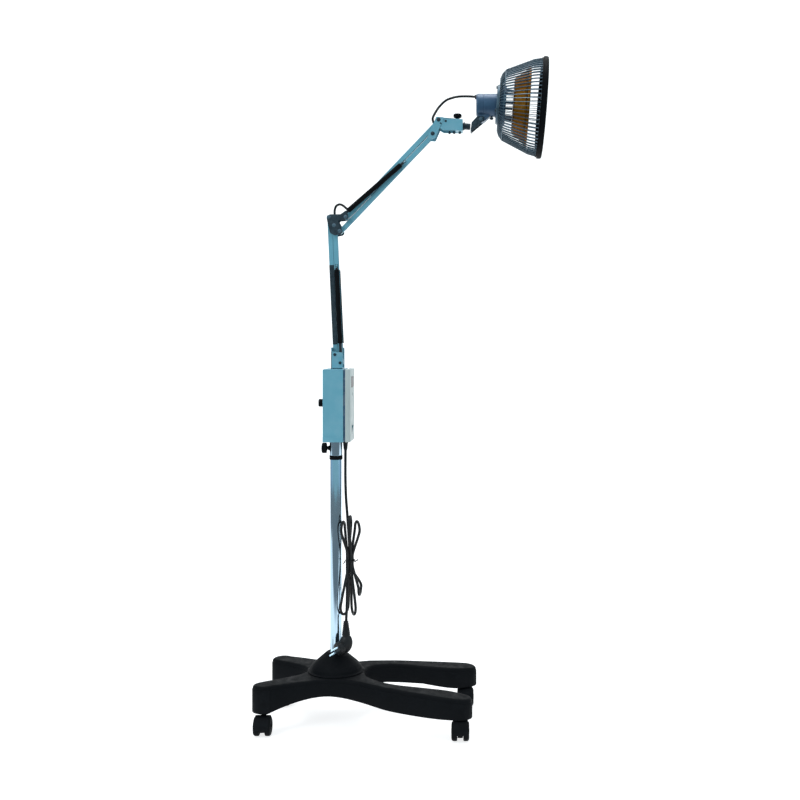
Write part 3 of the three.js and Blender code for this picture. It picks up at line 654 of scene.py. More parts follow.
# ---------------------------------------------------------------- sleeve and control box
BOX_REAR, BOX_SEAM, BOX_FRONT, BOX_HALF, BOX_BOTTOM, BOX_TOP = -23.5, 20.8, 36, 44, 609, 766.5
GROOVE_END = 25.0
FUSE_Z, BUTTON_Z, SCREW_Z = 691.5, 712, 592.6


def lobed(shape, middle, lobes, depth):
    """A knob about X with shallow grips round its edge."""
    verts = shape.verts.copy()
    y, z = verts[:, 1], verts[:, 2] - middle
    r, turn = np.hypot(y, z), np.arctan2(z, y)
    pull = 1 - depth * np.clip((r - 8) / 3, 0, 1) * (0.5 - 0.5 * np.cos(lobes * turn))
    verts[:, 1], verts[:, 2] = y * pull, z * pull + middle
    return Shape(verts, shape.faces)


def build_carrier():
    """The sleeve and its clamp knob, and the control box with its switch, timer and fuse."""
    sleeve = band(COLUMN_R + BORE_GAP, 14.1, 577, 745, segments=64)
    carved(fine("sleeve", sleeve), rod(3.3, -20, -10, "x", 24).moved(z=SCREW_Z))
    boss = band(3.3, 5.2, 14.2, 17, "x", 32).scaled(-1).moved(z=SCREW_Z)
    extra("sleeve_boss", boss, "sleeve", "black_plastic")
    knob = open_line([(0, 13.1), (3, 13.1), (3, 17.6), (6, 20, 1), (11.5, 20.5, 1.2), (11.5, 29.5, 1.6),
                      (9, 31, 1.4), (6, 30.4, 1), (0, 30.4)])
    turned = lathe(knob, "x", 72).scaled(-1).moved(z=SCREW_Z)
    fine("clamp_knob", lobed(turned, SCREW_Z, 8, 0.1))

    wall = 1.6
    shell = prism(rounded([(BOX_REAR, BOX_BOTTOM, 3), (BOX_SEAM, BOX_BOTTOM), (BOX_SEAM, BOX_TOP),
                           (BOX_REAR, BOX_TOP, 3)]), -BOX_HALF, BOX_HALF)
    inside = brick(BOX_REAR + wall, BOX_SEAM + 5, -BOX_HALF + wall, BOX_HALF - wall,
                   BOX_BOTTOM + wall, BOX_TOP - wall)
    carved(fine("box_rear_shell", shell, bevel=1.4, steps=3), inside, rod(14.4, 600, 615, segments=48),
           rod(4.3, BOX_REAR - 5, BOX_REAR + 5, "x", 32).moved(z=FUSE_Z))

    skin = 2.2
    ends = (BOX_FRONT, BOX_HALF)
    cover = prism(rounded([(GROOVE_END, -ends[1]), (ends[0], -ends[1], 8), (ends[0], ends[1], 8),
                           (GROOVE_END, ends[1])],
                          steps=8), BOX_BOTTOM, BOX_TOP, "z")
    hollow = prism(rounded([(GROOVE_END - 4, -ends[1] + skin), (ends[0] - skin, -ends[1] + skin, 6),
                            (ends[0] - skin, ends[1] - skin, 6), (GROOVE_END - 4, ends[1] - skin)]),
                   BOX_BOTTOM + skin, BOX_TOP - skin, "z")
    front = BOX_FRONT
    through = (front - 6, front + 4)
    carved(fine("box_cover", cover, bevel=2.4, steps=4), hollow, brick(*through, -8, 8, 623, 643),
           brick(*through, -22, 22, 726, 749),
           rod(4.6, *through, "x", 32).moved(z=BUTTON_Z))
    lip = prism(rounded(corners(BOX_SEAM + 0.2, GROOVE_END + 0.2, -42.6, 42.6), 0.6),
                BOX_BOTTOM + 1.4, BOX_TOP - 1.4, "z")
    carved(extra("box_gasket", lip, "box_cover", "head_paint"),
           prism(corners(BOX_SEAM - 2, GROOVE_END + 2, -40, 40), BOX_BOTTOM + 4, BOX_TOP - 4, "z"))
    skirt = prism(rounded(corners(BOX_REAR - 0.5, BOX_SEAM, -44.5, 44.5), 3), BOX_BOTTOM, BOX_BOTTOM + 11, "z")
    carved(extra("box_skirt", skirt, "box_rear_shell", bevel=0.5),
           prism(corners(BOX_REAR + 0.4, BOX_SEAM + 2, -43.6, 43.6), BOX_BOTTOM - 2, BOX_BOTTOM + 14, "z"))

    fine("display_window", brick(front - skin, front + 0.4, -21.7, 21.7, 726.3, 748.7), bevel=0.35)
    button = open_line([(0, front - 5), (6, front - 5), (6, front - skin - 0.3), (4.2, front - skin - 0.3),
                        (4.2, front + 0.8, 0.7), (3.4, front + 1.2, 0.4), (0, front + 1.0)])
    fine("timer_button", lathe(button, "x", 40).moved(z=BUTTON_Z))
    rocker = rounded([(front - 4.5, 624), (front + 0.4, 623.4, 0.4), (front + 1, 633, 12),
                      (front + 3, 642.4, 0.6), (front - 4.5, 642)])
    fine("rocker_switch", prism(rocker, -7.6, 7.6), bevel=0.4)
    cap = open_line([(0, 19), (4, 19, 0.3), (4, 23.8), (8.5, 23.8, 0.5), (8.5, 36.6, 0.8), (7.6, 37.8, 0.5),
                     (2, 37.8), (1.6, 36.6), (0, 36.6)])
    fine("fuse_cap", lathe(cap, "x", 48).scaled(-1).moved(z=FUSE_Z))


# ---------------------------------------------------------------- spring-balanced arm
BAR = 10
PLATE_IN, PLATE_OUT = 17, 19
SPRING_Y = 11.4
COIL_R, WIRE_R, PITCH = 2.75, 0.62, 1.45
HOOK_R, HOOK_END = 2.9, 4.4
LOWER_PIVOT, ELBOW_LOWER, LOWER_OFFSET = (11.2, 779.6), (-2.2, 1079), (-11.4, 18)
UPPER_PIVOT, UPPER_OFFSET, UPPER_LENGTH, UPPER_ANGLE = (10.3, 1066.7), (12.9, 30.4), 293, math.radians(46.3)


def plus(a, b):
    return (a[0] + b[0], a[1] + b[1])


LOWER_LINK, ELBOW_LINK, UPPER_LINK = (plus(LOWER_PIVOT, LOWER_OFFSET), plus(ELBOW_LOWER, LOWER_OFFSET),
                                      plus(UPPER_PIVOT, UPPER_OFFSET))
WRIST_LOWER = plus(UPPER_PIVOT, (UPPER_LENGTH * math.cos(UPPER_ANGLE), UPPER_LENGTH * math.sin(UPPER_ANGLE)))
WRIST_UPPER = plus(WRIST_LOWER, UPPER_OFFSET)


def laid(shape, start, end):
    """A shape drawn along X, moved to run from one XZ point to another."""
    angle = math.degrees(math.atan2(end[1] - start[1], end[0] - start[0]))
    return shape.turned(-angle, "Y").moved(start[0], 0, start[1])


def span_of(start, end):
    return math.hypot(end[0] - start[0], end[1] - start[1])


def build_bar(node, start, end):
    """A pressed channel bar, open below between its solid ends."""
    half, over, span = BAR / 2, 5.5, span_of(start, end)
    body = prism(rounded(corners(-over, span + over, -half, half), 4.4), -half, half)
    trough = brick(8, span - 8, -half + 1.2, half - 1.2, -half - 1, half - 1.2)
    holes = [rod(3.3, -half - 1, half + 1, "y", 24).moved(x) for x in (0, span)]
    carved(fine(node, laid(body, start, end), bevel=1.1, steps=3),
           *[laid(s, start, end) for s in (trough, *holes)])


def bolt(place, low, high, r=3.0, head=4.4, axis="y"):
    """A pin through the plates: a domed head on the near side, and its shaft running through to the far side.
    """
    shank = lathe([(0, low), (r, low), (r, high), (0, high)], axis, 24)
    dome = lathe(open_line([(0, low - 1.7), (head * 0.6, low - 1.6, 1.2), (head, low - 0.5, 0.5), (head, low),
                            (0, low)]), axis, 28)
    return (shank + dome).moved(place[0], 0, place[1])


def studs(place):
    """The two short pins that a pair of springs hooks onto."""
    return [rod(1.8, side * 7.5, side * 18, "y", 20).moved(place[0], 0, place[1]) for side in (-1, 1)]


def build_springs(arm, low, high, sleeve_from, sleeve_to, near_body, arm_body):
    """Two tension springs with hooked ends, and their sleeves."""
    span = span_of(low, high)
    for label, side in (("front", -1), ("back", 1)):
        node = f"{arm}_sleeve_{label}"
        sleeve = laid(band(4.0, 5.3, sleeve_from, sleeve_to, "x", 40, 0.5), low, high).moved(y=side * SPRING_Y)
        fine(node, sleeve)
        for name, start, end in (("low", HOOK_END, sleeve_from + 9), ("high", sleeve_to - 9, span - HOOK_END)):
            wound = coil((start, 0, 0), (end, 0, 0), COIL_R, WIRE_R, PITCH)
            eye = 0 if name == "low" else span
            away = 1 if name == "low" else -1
            turn = np.linspace(0.25, TURN - 0.25, 22)
            ring = np.stack([eye + away * (HOOK_R - HOOK_R * np.cos(turn)) - away * HOOK_R, 0 * turn,
                             HOOK_R * np.sin(turn)], -1)
            neck = np.array([[eye + away * HOOK_R, 0, -0.6], [eye + away * 3.8, 0.6, -1.5],
                             [eye + away * HOOK_END, 0, -2.7]])
            hook = sweep(ring, WIRE_R) + sweep(neck, WIRE_R)
            shape = laid(wound + hook, low, high).moved(y=side * SPRING_Y)
            made_name = f"{arm}_spring_{label}_{name}_end"
            stands = (f"{arm}_spring_{label}",) if name == "low" else ()
            made = piece(made_name, shape, arm_body, "spring_steel", stands_for=stands, sharp=60)
            if name == "low":
                made.parent = None
                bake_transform(made)


def build_arm_bracket():
    """The bracket on the box that carries the lower arm."""
    z0 = BOX_TOP + 0.3
    near = prism(rounded([(-8.5, z0), (16.5, z0), (16.5, 802, 3), (-8.5, 804.6, 1)]), -PLATE_OUT, -PLATE_IN)
    far = prism(rounded([(-8.5, z0), (16.5, z0), (16.5, 812, 2), (-8.5, 814.7, 2)]), PLATE_IN, PLATE_OUT)
    web = (brick(-8.5, -6.5, -PLATE_OUT, PLATE_OUT, z0, 813)
           + brick(-8.5, 16.5, -PLATE_OUT, PLATE_OUT, z0, z0 + 2))
    fine("arm_bracket", near + far + web, bevel=0.5)
    pins = [bolt(at, -PLATE_OUT - 0.3, PLATE_OUT + 0.8, r=2.4, head=3.3) for at in (LOWER_PIVOT, LOWER_LINK)]
    extra("arm_bracket_pins", merged(pins + studs(LOWER_SPRING[0])), "arm_bracket", "dark_metal")


LOWER_SPRING = ((11.8, 797), (2.5, 992))
UPPER_SPRING = ((22, 1106.4), (151.4, 1219.1))


def build_arm():
    """Both parallelogram arms, the elbow between them, and their springs."""
    build_arm_bracket()
    build_bar("lower_bar", LOWER_PIVOT, ELBOW_LOWER)
    build_bar("lower_link", LOWER_LINK, ELBOW_LINK)
    # a thin dark strip over the lower link alongside the spring sleeves, darker than the bars there
    dark_strip = prism(rounded(corners(22, 196, -4.8, 5.3), 1), -5.7, 5.7)
    extra("lower_link_dark_strip", laid(dark_strip, LOWER_LINK, ELBOW_LINK), "lower_link", "dark_metal", bevel=0.6)
    build_springs("lower", *LOWER_SPRING, 25, 186, "carrier", "lower_arm")
    outline = rounded([(-20.5, 1103.2, 9), (12, 1103.2, 5), (25.5, 1113, 3), (30.5, 1092.5, 5),
                       (4.5, 1090.4, 3), (13.6, 1074.5, 6), (18, 1060.5, 7), (0, 1057, 7), (-10.6, 1062, 6)])
    for label, low, high in (("front", -PLATE_OUT, -PLATE_IN), ("back", PLATE_IN, PLATE_OUT)):
        fine(f"elbow_plate_{label}", prism(outline, low, high), bevel=0.5)
    joints = (ELBOW_LOWER, ELBOW_LINK, UPPER_PIVOT, UPPER_LINK)
    pins = [bolt(at, -PLATE_OUT - 0.3, PLATE_OUT + 0.8) for at in joints]
    extra("elbow_pins", merged(pins + studs(UPPER_SPRING[0])), "elbow_plate_front", "cage_steel")
    build_bar("upper_bar", UPPER_PIVOT, WRIST_LOWER)
    build_bar("upper_link", UPPER_LINK, WRIST_UPPER)
    build_springs("upper", *UPPER_SPRING, 8, 160, "elbow", "upper_arm")


# ---------------------------------------------------------------- wrist, shaft and yoke
SHAFT_EXIT, SHAFT_TILT = (278, 1298), 4.5
KNOB_X = 266.5
TILT_PIN = (318, 1311)
HEAD_BACK, HEAD_TILT = (356, 0, 1345), 4.0


def on_shaft(shape):
    return shape.turned(SHAFT_TILT, "Y").moved(SHAFT_EXIT[0], 0, SHAFT_EXIT[1])


def build_wrist():
    """The bracket at the arm's end, with the swivel's bearing and its knob."""
    front, strap_out = SHAFT_EXIT[0], PLATE_OUT + 1.4
    side = rounded([(222, 1314.5, 1), (front, 1309.6, 2), (front, 1285.5, 2), (236, 1286, 2), (226, 1292, 2)])
    strap = rounded([(*plus(WRIST_UPPER, (-5, 6.5)), 3), (*plus(WRIST_UPPER, (12.5, 5)), 2),
                     (*plus(WRIST_LOWER, (5, -11)), 3), (*plus(WRIST_LOWER, (-11.5, -9.5)), 3)])
    plates = [prism(side, -PLATE_OUT, -PLATE_IN), prism(side, PLATE_IN, PLATE_OUT),
              prism(strap, -strap_out, -PLATE_OUT + 0.1), prism(strap, PLATE_OUT - 0.1, strap_out),
              prism(strap, -PLATE_OUT, -PLATE_IN), prism(strap, PLATE_IN, PLATE_OUT),
              prism([(238, 1311.4), (262, 1309.5), (262, 1311.6), (238, 1313.5)], -PLATE_OUT, PLATE_OUT)]
    fine("wrist_bracket", merged(plates), bevel=0.5)
    bearing = prism([(262, 1287), (275.2, 1285.5), (front, 1285.5), (front, 1310.4), (262, 1311.6)],
                    -16.9, 16.9)
    carved(extra("wrist_bearing", bearing, "wrist_bracket", bevel=0.5), on_shaft(rod(7.3, -40, 10, "x", 40)),
           rod(3.3, 1300, 1320, segments=24).moved(KNOB_X))
    pins = [bolt(at, -strap_out - 0.3, strap_out + 1.4) for at in (WRIST_LOWER, WRIST_UPPER)]
    rivets = [bolt(at, -PLATE_OUT - 0.2, -PLATE_IN + 1, r=1.6, head=2.6) for at in ((230, 1301), (241, 1306))]
    nuts = [rod(3.1, 1282.2, 1285.4, segments=6, edge=0.3).moved(x) + rod(1.6, 1280.6, 1287).moved(x)
            for x in (249, 259, 271.5)]
    extra("wrist_pins", merged(pins + rivets + nuts), "wrist_bracket", "dark_metal")
    cap = open_line([(0, 1306.6), (3, 1306.6), (3, 1312.6, 1), (5, 1315.6, 1), (9, 1317.5, 1), (9, 1323, 1.6),
                     (7, 1325, 1.4), (0, 1325.6)])
    fine("wrist_knob", lathe(cap, segments=64).moved(KNOB_X))


def build_shaft_and_yoke():
    """The swivel shaft, and the angled yoke that the head tilts on."""
    shaft = open_line([(0, -16.5), (7, -16.5, 0.5), (7, 0.8), (9, 0.8, 0.6), (9, 4.2, 0.6), (7, 4.2),
                       (7, 16.6, 0.8), (0, 16.6)])
    fine("swivel_shaft", on_shaft(lathe(shaft, "x", 48)))
    gusset = rounded([(294.6, 1283, 1), (297.6, 1304, 2), (309.4, 1317, 2), (326.5, 1317, 4), (324, 1307.6, 4)])
    web = prism([(294.9, 1284.5), (297.6, 1283.8), (300.4, 1303.2), (297.7, 1303.8)], -14, 14)
    fine("yoke", merged([web, prism(gusset, -16, -13.9), prism(gusset, 13.9, 16)]), bevel=0.45)
    extra("yoke_bolt", bolt(TILT_PIN, -16.6, 16.9, r=2.5), "yoke", "cage_steel")


# ---------------------------------------------------------------- lamp head
NECK_REAR, NECK_FRONT, NECK_R, NECK_Z = 307.5, 353.6, 25.1, 1343.7
RIBS = 72
RIM_R = 110.8
CAGE = [(0, 56), (4, 67), (12, 77), (71, 102.8), (93.4, 107.6)]


def on_head(shape):
    """A shape drawn about the head's own axis, X = 0 at the cage's rear plane."""
    return shape.turned(HEAD_TILT, "Y").moved(*HEAD_BACK)


def around(shape, count, start=0.0):
    """Copies of a shape turned about X."""
    return merged(shape.turned(start + 360 * i / count, "X") for i in range(count))


def build_neck():
    """The drum behind the cage, with its lug, foot screw and grommet."""
    r = NECK_R
    barrel = open_line([(0, NECK_REAR), (r - 3, NECK_REAR, 1), (r, NECK_REAR + 3, 2.4),
                        (r, NECK_REAR + 15.4, 0.3), (r - 0.5, NECK_REAR + 16, 0.3),
                        (r - 0.5, NECK_REAR + 17.4, 0.3), (r, NECK_REAR + 18, 0.3), (r, NECK_FRONT, 0.4),
                        (r - 2, NECK_FRONT, 0.4), (r - 2, NECK_REAR + 5), (0, NECK_REAR + 5)])
    lug = rounded([(312, 1306, 4), (324, 1306, 4), (337, 1317.5, 1), (337, 1322, 1), (311, 1322, 1)])
    fine("neck", lathe(barrel, "x", 80).moved(z=NECK_Z))
    lugs = extra("neck_lug", prism(lug, -12, 12), "neck", bevel=0.7)
    carved(lugs, rod(2.8, -14, 14, "y", 24).moved(TILT_PIN[0], 0, TILT_PIN[1]))
    foot = rod(4.2, 1313.5, 1317, segments=6, edge=0.3).moved(341) + rod(2.6, 1312, 1323).moved(341)
    grommet = rounded([(2.7, 304.6), (4.4, 304.6, 0.8), (5.4, 307.6, 0.4), (5.4, NECK_REAR + 1),
                       (2.7, NECK_REAR + 1)])
    extra("neck_foot_screw", foot, "neck", "dark_metal")
    extra("neck_grommet", spun(grommet, "x", 32).moved(z=1362), "neck", "cord_black")


def build_cage():
    """The ribbed cage, its rear rings, front ring and screws."""
    depth, width = 3.1, 1.25
    inner = [(s + depth, r - 0.8) if i < 2 else (s + 0.9, r - depth) for i, (s, r) in enumerate(CAGE)][::-1]
    line = rounded([*[(s, r, 6 if 0 < i < 4 else 0) for i, (s, r) in enumerate(CAGE)], *inner], steps=4)
    rib = prism(line, -width / 2, width / 2)
    rings = [band(18, 58, 0, 2, "x", 96, 0.6), band(74.2, 76.2, 10.8, 12.4, "x", 144, 0.5)]
    boss = rounded([(27, -4.5, 0.8), (41, -4.5, 2), (43, -2, 1), (43, 0.5), (27, 0.5)])
    rings.append(spun(boss, "x", 96))
    fine("cage", on_head(merged([around(rib, RIBS), *rings])), sharp=45)
    extra("cage_front_ring", on_head(band(104.9, 108, 88.6, 94.2, "x", 144, 0.5)), "cage", "black_plastic")
    screw = rod(3.4, -6.8, -4, "x", 28, 0.8)
    slot_mark = brick(-7.0, -6.2, -0.4, 0.4, -2.6, 2.6)
    extra("cage_screws", on_head(around((screw + slot_mark).moved(z=38), 3)), "cage", "dark_metal")


def build_rim():
    """The rim and the wire guard in the head's mouth."""
    lip = rounded([(108.4, 92, 0.4), (RIM_R, 92, 0.8), (RIM_R, 99, 1.6), (109.2, 101.8, 1.2),
                   (102.6, 101.8, 0.8), (102.6, 94.7, 0.4), (108.4, 94.7)])
    fine("rim", on_head(spun(lip, "x", 160)))
    wires = [hoop(r, 1.25, 95.8, "x", 96, 10) for r in (36, 70, 100.6)]
    spokes = [rod(1.25, -100.6, 100.6, "z", 12, 0.2).moved(95.8).turned(60 * i, "X") for i in range(3)]
    fine("front_guard", on_head(merged(wires + spokes)), sharp=60)


def build_inside():
    """The drum and posts, the dished holder, the mineral plate and the heater."""
    drum = open_line([(0, 2.4), (42, 2.4, 1.5), (43, 4, 0.8), (43, 16, 0.6), (41, 16, 0.6), (41, 4.4),
                      (0, 4.4)])
    posts = around(rod(3.2, 4, 31.4, "x", 24, 0.4).moved(z=33), 6, 30)
    fine("rear_drum", on_head(lathe(drum, "x", 80) + posts))
    skin = 1.5  # the pressed cup's thickness
    cup = open_line([(0, 32), (58, 32, 2), (62, 35, 2), (77, 55.5, 2.5), (80, 58.5, 2), (88, 61, 1.5),
                     (88, 66.5, 0.5), (88 - skin, 66.5, 0.5), (88 - skin, 62.2, 1), (79, 59.8, 1.5),
                     (75.4, 56.6, 2), (60.8, 36.4, 2), (57, 32 + skin, 1.5), (0, 32 + skin)])
    fine("plate_holder", on_head(lathe(cup, "x", 128)))
    plate = open_line([(0, 62.6), (83, 62.6, 0.5), (83, 65.8, 0.9), (78, 65.8, 0.5), (77, 65.2, 0.5),
                       (0, 65.2)])
    fine("mineral_plate", on_head(lathe(plate, "x", 112)))
    heater = rounded(corners(18, 52, 35.5, 44), 1)
    grooves = merged(band(r, r + 3, 43.6, 44.8, "x", 72, 0.4) for r in (22, 30, 38, 46))
    fine("heater", on_head(spun(heater, "x", 72) + grooves))


# ---------------------------------------------------------------- plug, gland, tie and leads
PLUG_FACE, PLUG_PINS, PLUG_ACROSS = (7, -35.5, 160), (-0.73, -0.59, -0.32), (0.23, -0.666, 0.71)


def plug_frame():
    """The plug's face, as a place with X along the pins and Z from one pin to the other."""
    pins = Vector(PLUG_PINS).normalized()
    up = Vector(PLUG_ACROSS).normalized()
    side = up.cross(pins).normalized()
    turn = Matrix((pins, side, up)).transposed().to_4x4()
    return Matrix.Translation(PLUG_FACE) @ turn


def ball(r, low, high, axis="x", segments=48, rows=16):
    turn = np.linspace(0, math.pi, rows)
    profile = np.stack([r * np.sin(turn), (low + high) / 2 - (high - low) / 2 * np.cos(turn)], -1)
    return lathe(profile, axis, segments)


PLUG_LEAN = 5.7


def build_plug():
    """The angled plug with its strain relief and pins, and the gland under the box."""
    at = plug_frame()
    face = lathe(open_line([(0, -15), (14, -15, 4), (17, -9, 3), (17, -1, 1), (16, 0, 0.6), (0, 0)]), "x", 48)
    face = face.scaled(1, 0.8, 1).by(at)
    bulk = ball(1, -1, 1, "z").scaled(15, 12, 21).turned(11.5, "Y").moved(24, -24.5, 170)
    neck = rod(7.6, -3, 14, segments=40, edge=1).turned(PLUG_LEAN, "X").moved(25, -24, 181)
    body = fine("mains_plug", merged([face, bulk, neck]))
    melt = body.modifiers.new("melt", "REMESH")
    melt.mode, melt.voxel_size = "VOXEL", 0.0007
    melt.use_smooth_shade = True
    soften = body.modifiers.new("soften", "SMOOTH")
    soften.factor, soften.iterations = 0.5, 14
    relief = [rod(9.6 - 0.5 * k, 4 * k, 4 * k + 2.6, segments=36, edge=0.8) for k in range(1, 9)]
    core = lathe([(0, 0), (8.4, 0), (4.4, 34), (0, 34)], segments=36)
    extra("mains_plug_relief", (core + merged(relief)).turned(PLUG_LEAN, "X").moved(25, -24, 185), "mains_plug")
    prongs = merged(lathe(open_line([(0, -3), (2.4, -3), (2.4, 17, 1), (1.2, 19, 0.8), (0, 19)]), "x", 24)
                    .moved(z=z) for z in (-9.5, 9.5))
    extra("mains_plug_pins", prongs.by(at), "mains_plug", "chrome")
    gland = open_line([(0, 588), (3.6, 588, 0.5), (5.4, 603, 0.5), (6.3, 604, 0.4), (6.3, 608.7), (0, 608.7)])
    rings = merged(band(3.2, 4.5 + 0.18 * k, 589.5 + 2.6 * k, 590.9 + 2.6 * k, segments=36) for k in range(5))
    fine("mains_gland", (lathe(gland, segments=40) + rings).moved(CORD_EXIT[0]))


def build_tie():
    """A plastic twist tie round the hank's waist, with its ends twisted together."""
    turn = np.linspace(0, TURN, 60, endpoint=False)
    loop = np.stack([TIE[0] + TIE_R * np.cos(turn), TIE[1] + TIE_R * np.sin(turn),
                     TIE[2] + 0.8 * np.sin(2 * turn)], -1)
    strip = np.array([(-1.7, -0.5), (-1.7, 0.5), (1.7, 0.5), (1.7, -0.5)])
    shapes = [sweep(loop, strip, closed=True)]
    for sign in (1, -1):
        t = np.linspace(0, 1, 24)
        twist = 7 * t
        end = np.stack([TIE[0] + sign * (10.2 + (9 if sign > 0 else 3) * t),
                        TIE[1] - 5 + 1.1 * np.sin(twist * 2),
                        TIE[2] - 2 + sign * 5 * t ** 1.5 + 1.1 * np.cos(twist * 2)], -1)
        shapes.append(sweep(end, 0.9))
    extra("hank_tie", merged(shapes), "mains_plug")


LEAD_R = 2.6


def build_leads():
    """The leads across the elbow and the wrist."""
    runs = (
        ("elbow_lead", "elbow", "upper_link",
         [(-4, 9, 1096), (-4.2, 9, 1106), (-3.6, 8, 1116), (0, 6.5, 1124), (8, 4, 1127), (16, 2, 1123.6),
          (23, 0, 1117.5), (28.5, 0, 1114.4)]),
        ("wrist_lead_rear", "wrist", "yoke",
         [(218, 10.6, 1300), (213.4, 10.6, 1308), (211.6, 10.4, 1317), (217, 10, 1329), (227.5, 9, 1344),
          (242.7, 7, 1357), (260, 5, 1362.7)]),
        ("wrist_lead_front", "yoke", "head",
         [(260.2, 5, 1362.8), (272, 3.6, 1364), (284.5, 2, 1364), (296, 0.6, 1363.3), (309, 0, 1362)]),
    )
    for node, start_body, end_body, points in runs:
        made = fine(node, sweep(smooth_path(points, 1.2), LEAD_R), sharp=70)
        made.parent = None
        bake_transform(made)


# ---------------------------------------------------------------- mains cord
CORD_R = 3.0
CORD_EXIT = (20.8, 0, 588)
DROP = [(20.8, 0, 592), (20.8, 0, 587.7), (20.6, 0, 560), (20.8, -0.6, 520), (22.4, -1.6, 480), (25.2, -3, 445)]
TIE = (30.8, -4.0, 347.0)
TIE_HALF = 12.0
TIE_R = 9.9
SLOT_PITCH = 6.1
FOLD_R = 18.0
# Each fold: its middle's X and Y, X at its near side less X at its far side, the height of its apex, and
# the slot of the tie that the cord comes back to.
FOLDS = [
    (52.5, -4, -2, 272, 0), (47, -4, 14, 432, 60), (38.5, 0, 13, 228, 300), (31.5, -4, 0, 443, 120),
    (19.5, -7, -13, 230, 240), (16, -4, -4, 431, 180),
]
TAIL = [(25.2, -7.5, 310), (25.4, -9.5, 285), (25.4, -12, 262), (25.3, -15.5, 243), (25, -18.6, 230),
        (24.8, -20, 223), (24.8, -20.3, 217)]


def slot_at(angle):
    """A cord's place in the tie: the middle, or one of six around it."""
    if angle is None:
        return np.array(TIE[:2])
    turn = math.radians(angle)
    return np.array(TIE[:2]) + SLOT_PITCH * np.array([math.cos(turn), math.sin(turn)])


def through_tie(angle, upwards):
    heights = [TIE[2] - TIE_HALF, TIE[2], TIE[2] + TIE_HALF]
    return [(*slot_at(angle), z) for z in (heights if upwards else heights[::-1])]


def hank_route():
    """The hank's runs: through the tie, round a fold, and back through the tie, seven times."""
    route = through_tie(None, upwards=False)
    for k, (middle, depth, spread, apex, onward) in enumerate(FOLDS):
        at_bottom = k % 2 == 0
        sign = -1 if at_bottom else 1
        near = np.array([middle + spread / 2, depth - FOLD_R])
        far = np.array([middle - spread / 2, depth + FOLD_R])
        start, end = (far, near) if at_bottom else (near, far)
        for turn in np.linspace(0, math.pi, 7):
            flat = (start + end) / 2 + (start - end) / 2 * math.cos(turn)
            route.append((*flat, apex - sign * FOLD_R * (1 - math.sin(turn))))
        route += through_tie(onward, upwards=at_bottom)
    return route


def build_cord():
    path = smooth_path([*DROP, *hank_route(), *TAIL], step=2.0)
    curve = bpy.data.curves.new("mains_flex", "CURVE")
    curve.dimensions = "3D"
    curve.bevel_depth = CORD_R * MM
    curve.bevel_resolution = 5
    curve.use_fill_caps = True
    line = curve.splines.new("POLY")
    line.points.add(len(path) - 1)
    for point, place in zip(line.points, path):
        point.co = (*to_frame(place), 1)
    line.use_smooth = True
    flex = added("mains_flex", curve)
    curve.materials.append(MATERIALS["cord_black"])
    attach(flex, "carrier")
    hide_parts("mains_cord", "mains_hank", "mains_tail")
    return flex


# ---------------------------------------------------------------- camera, light and floor
VIEW_DISTANCE, VIEW_ASIDE, VIEW_HEIGHT = 2.5, 0.314, 0.845
# Painted light on the floor: it glows where the lamp stands, and both its glow and its colour fade to a painted
# dark in front of it and far to the sides.
FADE_NEAR, FADE_ASIDE = (-0.72, -0.45), (2.1, 2.6)
LAMPS = (("key", (-1.9, -2.3, 2.3), 1.4, 34, (0.97, 0.99, 1.0)),
         ("fill", (2.3, -1.5, 1.3), 1.2, 9, (0.95, 0.98, 1.0)),
         ("top", (0.1, 0.3, 3.0), 1.4, 26, (1.0, 1.0, 1.0)))


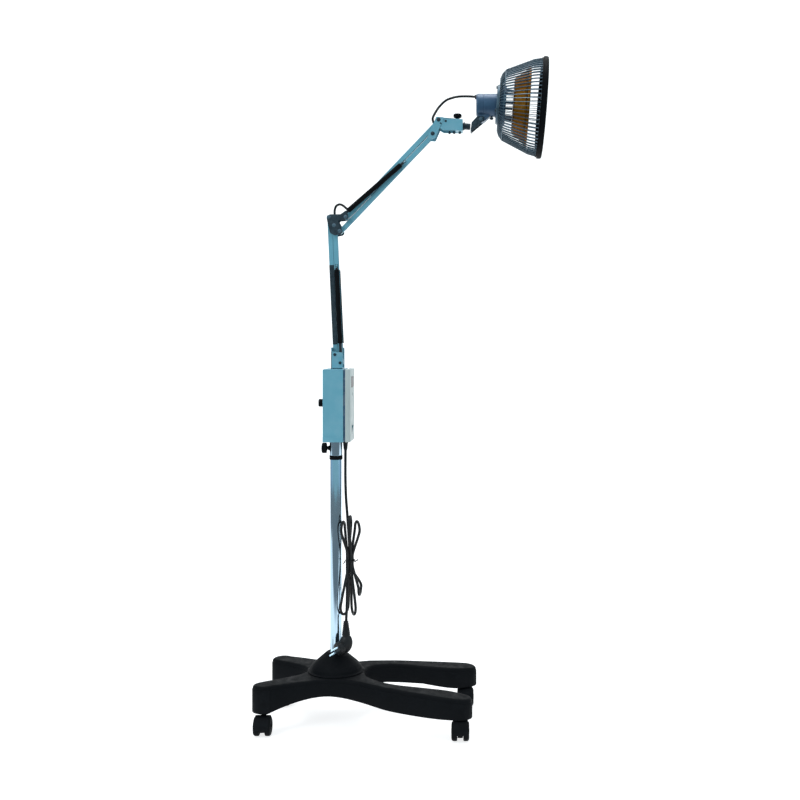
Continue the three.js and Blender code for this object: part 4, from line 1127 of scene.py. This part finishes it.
def build_stage():
    """The camera, a curved floor sheet with a painted glow and painted shade, the surroundings and three lamps.
    """
    camera = added("camera", bpy.data.cameras.new("camera"))
    camera.data.lens = 51.3
    camera.data.shift_x = -0.099
    camera.data.shift_y = -0.084
    camera.rotation_euler = (math.radians(90), 0, 0)
    camera.location = (AXIS[0] + VIEW_ASIDE, AXIS[1] - VIEW_DISTANCE, VIEW_HEIGHT)
    bpy.context.scene.camera = camera

    floor_mesh = bpy.data.meshes.new("floor")
    reach, back, rise, curve = 6.0, 2.6, 4.5, 1.2
    profile = open_line([(-reach, 0), (back, 0, curve), (back, rise)], steps=16)
    verts = [(x, y, z) for y, z in profile for x in (-reach, reach)]
    floor_mesh.from_pydata(verts, [],
                           [(2 * i, 2 * i + 1, 2 * i + 3, 2 * i + 2) for i in range(len(profile) - 1)])
    floor_mesh.shade_smooth()
    floor = added("floor", floor_mesh)
    painted_glow_floor = bpy.data.materials.new("painted_glow_floor")
    painted_glow_floor.use_nodes = True
    sheet = painted_glow_floor.node_tree.nodes["Principled BSDF"]
    flat = painted_glow_floor.node_tree
    place = node_of(flat, "ShaderNodeSeparateXYZ")
    flat.links.new(flat.nodes.new("ShaderNodeTexCoord").outputs["Object"], place.inputs[0])
    sideways = flat.nodes.new("ShaderNodeMath")
    sideways.operation = "ABSOLUTE"
    flat.links.new(place.outputs["X"], sideways.inputs[0])
    # painted light and shade: the floor glows pale under and behind the lamp, and is painted dark in front of
    # it and to the sides
    painted_glow = product(flat, mapped(flat, place.outputs["Y"], 0, 1, *FADE_NEAR),
                  mapped(flat, sideways.outputs[0], 1, 0, *FADE_ASIDE))
    flat.links.new(mixed(flat, painted_glow, (0.04, 0.06, 0.07), (0.55, 0.55, 0.55)), sheet.inputs["Base Color"])
    flat.links.new(mapped(flat, painted_glow, 0.16, 0.74), sheet.inputs["Emission Strength"])
    set_inputs(sheet, Roughness=0.95, Specular_IOR_Level=0.1, Emission_Color=(1.0, 1.0, 1.0, 1))
    floor_mesh.materials.append(painted_glow_floor)

    world = bpy.data.worlds.new("studio")
    world.use_nodes = True
    tree = world.node_tree
    place = node_of(tree, "ShaderNodeSeparateXYZ")
    tree.links.new(tree.nodes.new("ShaderNodeTexCoord").outputs["Generated"], place.inputs[0])
    ahead = mapped(tree, place.outputs["Y"], 0, 1, -0.75, 0.35)
    tint = mixed(tree, ahead, (0.4, 0.66, 0.72), (0.5, 0.7, 0.9))
    overhead = mixed(tree, mapped(tree, place.outputs["Z"], 0, 1, 0.15, 0.8), tint, (0.9, 0.95, 1.0))
    background = tree.nodes["Background"]
    tree.links.new(overhead, background.inputs["Color"])
    set_inputs(background, Strength=0.8)
    bpy.context.scene.world = world

    middle = Vector((AXIS[0] + 0.1, AXIS[1], 0.75))
    for name, place, size, power, colour in LAMPS:
        lamp = added(name, bpy.data.lights.new(name, "AREA"))
        lamp.data.size, lamp.data.energy, lamp.data.color = size, power, colour
        lamp.location = middle + Vector(place) - Vector((0, 0, middle.z))
        lamp.rotation_euler = (middle - lamp.location).to_track_quat("-Z", "Y").to_euler()
    bpy.context.scene.view_settings.view_transform = "Standard"


build_stage()
build_base()
build_carrier()
build_arm()
build_wrist()
build_shaft_and_yoke()
build_neck()
build_cage()
build_rim()
build_inside()
build_plug()
build_tie()
build_leads()
flex = build_cord()
